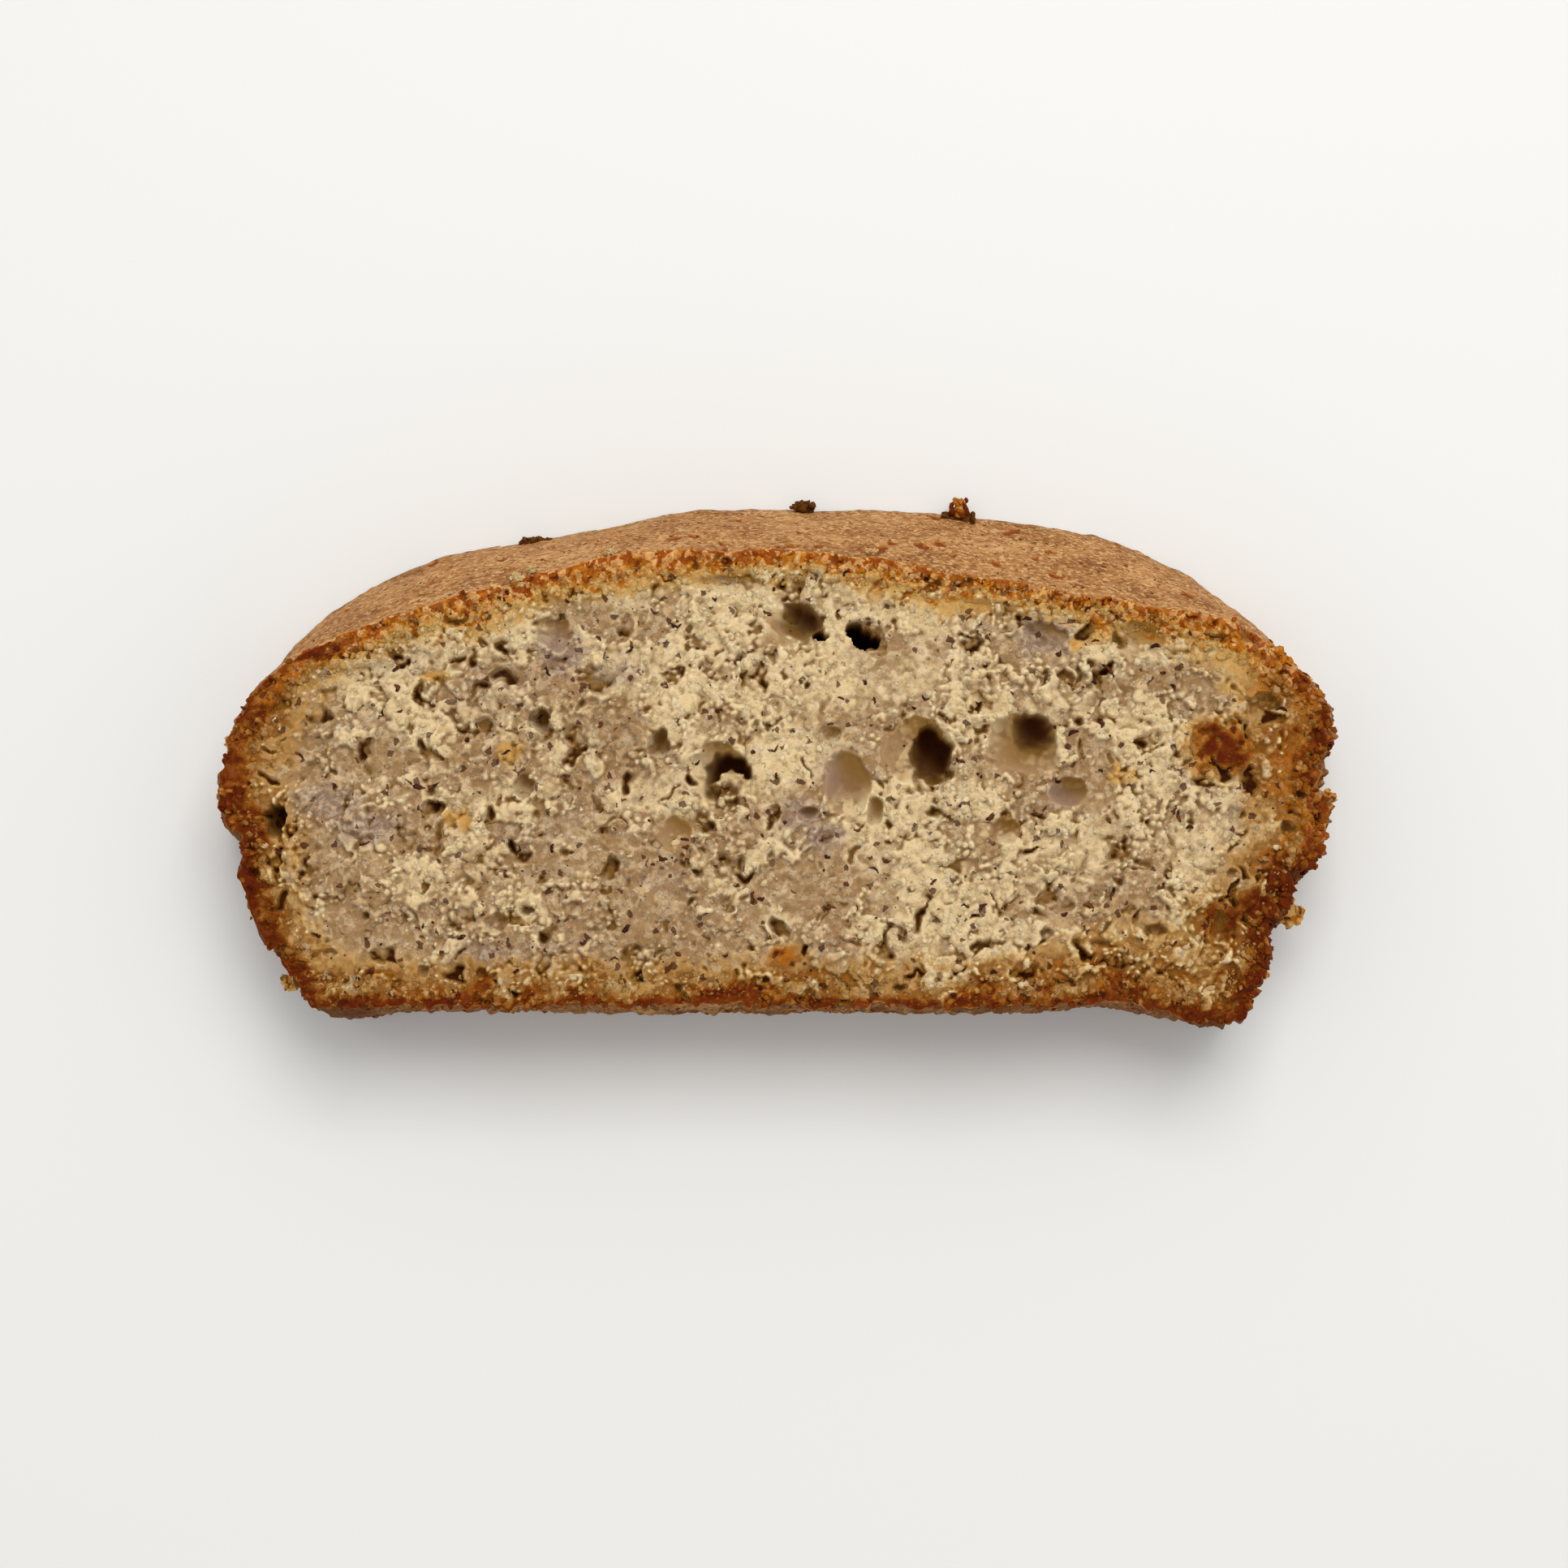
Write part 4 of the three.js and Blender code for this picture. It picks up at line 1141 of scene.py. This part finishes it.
# The real sizes of the finishes' patterns, in mm. The crumb's finest pores, of about 0.2, are too
# fine to show in the render, and are drawn as coarse as they need to show.
CRUMB_GRAIN = 2 / 3
CRUMB_MOTTLE = 1.25
CRUMB_PORE = 1 / 2.3
SKIN_GRAIN = 1 / 2.6
SKIN_CLOUD = 6.25
SKIN_STREAK = 10 / 9
FIBRE_GRAIN = 10 / 9


def linear(code):
    """An sRGB hex colour as the linear red, green, blue and alpha that shaders use."""
    parts = np.array([int(code[n : n + 2], 16) / 255 for n in (1, 3, 5)])
    parts = np.where(parts <= 0.04045, parts / 12.92, ((parts + 0.055) / 1.055) ** 2.4)
    return (*parts.tolist(), 1.0)


def per_metre(size):
    """A pattern's scale on Object coordinates, from the size of one of its cells in mm."""
    return 1 / (size * MM)


def add_node(tree, kind, inputs=None, **settings):
    """Adds a node with its settings. Each input is given by name or number: a link or a value."""
    node = tree.nodes.new(kind)
    for name, value in settings.items():
        setattr(node, name, value)
    for socket, value in (inputs or {}).items():
        if isinstance(value, bpy.types.NodeSocket):
            tree.links.new(value, node.inputs[socket])
        else:
            node.inputs[socket].default_value = value
    return node


def new_material(name, tints=(), **surface):
    """A material with one shader, whose plain numbers are set on its own sockets.

    Gives its node tree and its shader too, and a socket for each tint that it reads.
    """
    material = bpy.data.materials.new(name)
    material.use_nodes = True
    tree = material.node_tree
    tree.nodes.clear()
    shader = add_node(tree, "ShaderNodeBsdfPrincipled")
    for socket, value in surface.items():
        shader.inputs[socket.replace("_", " ")].default_value = value
    add_node(tree, "ShaderNodeOutputMaterial", {"Surface": shader.outputs[0]})
    tint = {
        each: add_node(tree, "ShaderNodeAttribute", attribute_name=each).outputs["Fac"]
        for each in tints
    }
    return material, tree, shader, tint


def layered(tree, ground, layers):
    """Lays colours over a ground colour, one after another.

    The amount of each is its strength times a smooth step for every factor given with it: the
    factor's socket, where its step starts and where it ends. Sockets 0, 6 and 7 of a Mix node are
    its amount and its two colours, and output 2 is its colour.
    """
    colour = linear(ground)
    for code, strength, *factors in layers:
        amount = strength
        for value, low, high in factors:
            steps = {"Value": value, "From Min": low, "From Max": high, "To Min": 0.0}
            steps["To Max"] = amount
            step = add_node(tree, "ShaderNodeMapRange", steps, interpolation_type="SMOOTHSTEP")
            amount = step.outputs[0]
        mixed = {0: amount, 6: colour, 7: linear(code)}
        colour = add_node(tree, "ShaderNodeMix", mixed, data_type="RGBA").outputs[2]
    return colour


def grainy(tree, where, size, shift):
    """A pattern of packed grains of a size in mm, on coordinates shifted by noise, in metres.

    Gives each grain's distance from its own middle and two random numbers for it.
    """
    wander = {"Vector": where, "Scale": per_metre(size) * 0.8, "Detail": 2.0}
    wander = add_node(tree, "ShaderNodeTexNoise", wander).outputs["Color"]
    moved = {0: wander, 1: (shift, shift, shift), 2: where}
    moved = add_node(tree, "ShaderNodeVectorMath", moved, operation="MULTIPLY_ADD").outputs[0]
    grains = {"Vector": moved, "Scale": per_metre(size)}
    grains = add_node(tree, "ShaderNodeTexVoronoi", grains)
    numbers = add_node(tree, "ShaderNodeSeparateColor", {"Color": grains.outputs["Color"]})
    return grains.outputs["Distance"], numbers.outputs[0], numbers.outputs[1]


def roughened(tree, shader, *heights):
    """Stands a surface's fine relief on its shader: each height's socket, its size in metres and
    its strength, one upon the other."""
    facing = None
    for height, size, strength in heights:
        relief = {"Height": height, "Distance": size, "Strength": strength}
        if facing:
            relief["Normal"] = facing
        facing = add_node(tree, "ShaderNodeBump", relief).outputs[0]
    tree.links.new(facing, shader.inputs["Normal"])


def baked_crumb(name, light_let_in):
    """Banana bread crumb: flour, egg and banana baked to a moist, matte foam, and torn by a knife.

    To the eye it is packed grains of 0.7 mm and pores of 0.4, beige and buttery, purple-grey where
    banana was mashed in and gold to brown near the skin. Shade is painted on it where it lies low,
    olive-gold and then dark brown, and light where it stands up. The piece's own tints say where,
    and each grain's random number sets it off from the next. Light sinks into it by about a
    millimetre, which takes the hardness off its shadows; a loose crumb is smaller than that, and lets
    in less.
    """
    material, tree, shader, tint = new_material(
        name, TINTS, Roughness=0.9, Specular_IOR_Level=0.08, Subsurface_Weight=light_let_in
    )
    where = add_node(tree, "ShaderNodeTexCoord").outputs["Object"]
    shader.inputs["Subsurface Radius"].default_value = (0.0009, 0.0007, 0.00045)
    shader.inputs["Subsurface Scale"].default_value = 1.0
    torn = (tint["smooth"], 0.7, 0.2)
    _, number, other = grainy(tree, where, CRUMB_GRAIN, 0.0006)
    mottled = {"Vector": where, "Scale": per_metre(CRUMB_MOTTLE), "Detail": 3.0, "Roughness": 0.65}
    mottled = add_node(tree, "ShaderNodeTexNoise", mottled).outputs[0]
    pitted = {"Vector": where, "Scale": per_metre(CRUMB_PORE), "Detail": 3.0, "Roughness": 0.6}
    pitted = add_node(tree, "ShaderNodeTexNoise", pitted).outputs[0]
    uneven = {0: mottled, 1: 0.8, 2: tint["toast"]}
    toast = add_node(tree, "ShaderNodeMath", uneven, operation="MULTIPLY_ADD").outputs[0]
    layers = (
        # The buttery tone, with painted light where the crumb stands up.
        ("#d9c092", 1.0, (tint["butter"], 0.0, 0.85)),
        ("#917867", 0.85, (tint["banana"], 0.1, 0.9)),
        ("#ead6b6", 0.4, (mottled, 0.5, 0.68), torn),
        ("#8a6a3e", 0.5, (mottled, 0.5, 0.34), torn),
        ("#f0e0c0", 0.25, (number, 0.6, 0.95), torn),
        ("#c5984e", 0.85, (toast, 0.42, 0.72)),
        ("#7d4d1c", 0.85, (toast, 0.5, 0.9), (tint["bake"], 0.1, 0.7)),
        ("#c69c66", 0.55, (number, 0.6, 0.95), (toast, 0.55, 0.75), (tint["bake"], 0.2, 0.5)),
        ("#b97018", 1.0, (toast, 0.85, 1.12)),
        ("#7a460f", 0.8, (toast, 0.85, 1.12), (tint["bake"], 0.5, 1.0)),
        ("#954610", 0.9, (toast, 1.12, 1.38)),
        ("#5f1f04", 0.95, (toast, 0.9, 1.35), (tint["bake"], 0.3, 1.0)),
        ("#deae6c", 0.8, (number, 0.5, 0.9), (toast, 0.8, 1.1), (tint["bake"], 0.8, 0.3)),
        # Painted shade in crevices and pockets, olive-gold and then dark brown; on a burnt crumb the
        # same tint darkens it.
        ("#87601f", 0.85, (tint["hollow"], 0.05, 0.5)),
        ("#441805", 0.95, (tint["hollow"], 0.5, 0.95)),
        ("#45180c", 0.8, (other, 0.97, 0.98), torn),
    )
    tree.links.new(layered(tree, "#a3825a", layers), shader.inputs["Base Color"])
    rough = {"Value": tint["smooth"], "From Min": 0.2, "From Max": 0.8, "To Min": 0.6, "To Max": 0.08}
    rough = add_node(tree, "ShaderNodeMapRange", rough).outputs[0]
    roughened(tree, shader, (mottled, 0.0005, rough), (pitted, 0.00035, rough))
    return material


def browned_skin():
    """The loaf's skin: batter dried and browned by the oven's heat, matte and finely wrinkled.

    To the eye it is a dry tan-brown with grains of 0.4 mm and wrinkles of 1 mm drawn out across
    the loaf, clouded darker and lighter, with small rusty pits, and darker by the tin.
    """
    name, tints = "browned loaf crust", ("hollow", "bake")
    material, tree, shader, tint = new_material(
        name, tints, Roughness=0.75, Specular_IOR_Level=0.12, Subsurface_Weight=0.02
    )
    where = add_node(tree, "ShaderNodeTexCoord").outputs["Object"]
    shader.inputs["Subsurface Radius"].default_value = (0.001, 0.0005, 0.0003)
    shader.inputs["Subsurface Scale"].default_value = 1.0
    middle, number, other = grainy(tree, where, SKIN_GRAIN, 0.0003)
    cloudy = {"Vector": where, "Scale": per_metre(SKIN_CLOUD), "Detail": 5.0, "Roughness": 0.65}
    cloudy = add_node(tree, "ShaderNodeTexNoise", cloudy).outputs[0]
    stretch = {"Vector": where, "Scale": (0.4, 1.0, 1.0)}
    stretch = add_node(tree, "ShaderNodeMapping", stretch).outputs[0]
    streaked = {"Vector": stretch, "Scale": per_metre(SKIN_STREAK), "Detail": 3.0, "Roughness": 0.6}
    streaked = add_node(tree, "ShaderNodeTexNoise", streaked).outputs[0]
    layers = (
        ("#c8955c", 0.8, (cloudy, 0.5, 0.66)),
        ("#85501f", 0.8, (cloudy, 0.5, 0.34)),
        ("#d0a070", 0.3, (streaked, 0.5, 0.7)),
        ("#7e4a20", 0.3, (streaked, 0.5, 0.3)),
        ("#e0b47a", 0.6, (number, 0.65, 0.95)),
        ("#6a3a10", 0.6, (number, 0.35, 0.05)),
        ("#5c2d06", 0.92, (tint["bake"], 0.2, 1.1)),
        ("#a8621e", 0.85, (tint["hollow"], 0.05, 0.4)),
        ("#7a340e", 0.85, (tint["hollow"], 0.4, 0.9)),
        ("#7a340e", 0.7, (number, 0.4, 0.1), (tint["hollow"], 0.1, 0.4)),
        ("#5a250c", 0.85, (other, 0.97, 0.98)),
    )
    tree.links.new(layered(tree, "#b07a44", layers), shader.inputs["Base Color"])
    rounded = add_node(tree, "ShaderNodeMath", {0: 1.0, 1: middle}, operation="SUBTRACT").outputs[0]
    roughened(tree, shader, (cloudy, 0.0012, 0.4), (streaked, 0.0004, 0.4), (rounded, 0.0002, 0.8))
    return material


def banana_fibre():
    """Banana fibre: strands and seeds that browned in the oven.

    To the eye it is nearly black, a little moist, and warmer brown by grains of 1 mm.
    """
    material, tree, shader, _ = new_material(
        "browned banana fibre", Roughness=0.7, Specular_IOR_Level=0.15
    )
    where = add_node(tree, "ShaderNodeTexCoord").outputs["Object"]
    _, number, _ = grainy(tree, where, FIBRE_GRAIN, 0.0003)
    layers = (("#74401c", 0.8, (number, 0.5, 0.9)), ("#2c0f06", 0.8, (number, 0.4, 0.1)))
    tree.links.new(layered(tree, "#4a2010", layers), shader.inputs["Base Color"])
    return material


# ---- the bread

crumb_finish = baked_crumb("baked banana bread crumb", light_let_in=0.8)
loose_finish = baked_crumb("loose banana bread crumbs", light_let_in=0.15)
skin_finish = browned_skin()
fibre_finish = banana_fibre()
for block in range(len(BLOCKS)):
    crumb_block(block, crumb_finish)
crust_band(crumb_finish, skin_finish)
stuck_crumbs(loose_finish)
crumbs_on_face("coarse_crumbs", loose_finish, count=1100, smallest=0.22, largest=0.55)
crumbs_on_face("fine_crumbs", loose_finish, count=6000, smallest=0.1, largest=0.28)
crumbs_on_crust(loose_finish, count=5200)
banana_strands(fibre_finish, count=110)
dark_specks(fibre_finish, count=260)

# ---- floor, light and camera


def pale_floor():
    """A wide, matte, pale studio floor under the slice."""
    bpy.ops.mesh.primitive_plane_add(size=4.0, location=(0, 0, 0))
    floor = bpy.context.object
    floor.name = "floor"
    material, _, shader, _ = new_material("matte pale floor", Roughness=0.6)
    shader.inputs["Base Color"].default_value = linear("#e1e0dc")
    floor.data.materials.append(material)


def soft_light(name, place, size, power, colour):
    """A square area light aimed at the slice's middle."""
    data = bpy.data.lights.new(name, "AREA")
    data.size = size
    data.energy = power
    data.color = linear(colour)[:3]
    light = bpy.data.objects.new(name, data)
    light.location = place
    towards = Vector((0, 0, THICKNESS * MM / 2)) - Vector(place)
    light.rotation_euler = towards.to_track_quat("-Z", "Y").to_euler()
    bpy.context.scene.collection.objects.link(light)


CAMERA_AIM = (np.array([0.75, -2.9, THICKNESS]) - MIDDLE) * MM
CAMERA_DISTANCE = 0.38
CAMERA_ELEVATION = math.radians(85.5)
LENS, SENSOR = 75.3, 36.0


def photo_camera():
    """The camera at the photograph's angle: almost straight above, a little to the base's side."""
    data = bpy.data.cameras.new("camera")
    data.lens = LENS
    data.sensor_width = SENSOR
    data.sensor_fit = "HORIZONTAL"
    camera = bpy.data.objects.new("camera", data)
    away = Vector((0, -math.cos(CAMERA_ELEVATION), math.sin(CAMERA_ELEVATION))) * CAMERA_DISTANCE
    camera.location = Vector(CAMERA_AIM) + away
    camera.rotation_euler = (-away).to_track_quat("-Z", "Y").to_euler()
    bpy.context.scene.collection.objects.link(camera)
    bpy.context.scene.camera = camera


def room(strength):
    """Even, slightly cool light from all around."""
    world = bpy.data.worlds.new("room")
    world.use_nodes = True
    background = world.node_tree.nodes["Background"]
    background.inputs["Color"].default_value = linear("#f4f5f7")
    background.inputs["Strength"].default_value = strength
    bpy.context.scene.world = world


pale_floor()
soft_light("window", place=(0.1, 0.36, 0.85), size=0.5, power=5.0, colour="#fffefd")
room(strength=0.76)
bpy.context.scene.view_settings.view_transform = "Standard"
photo_camera()
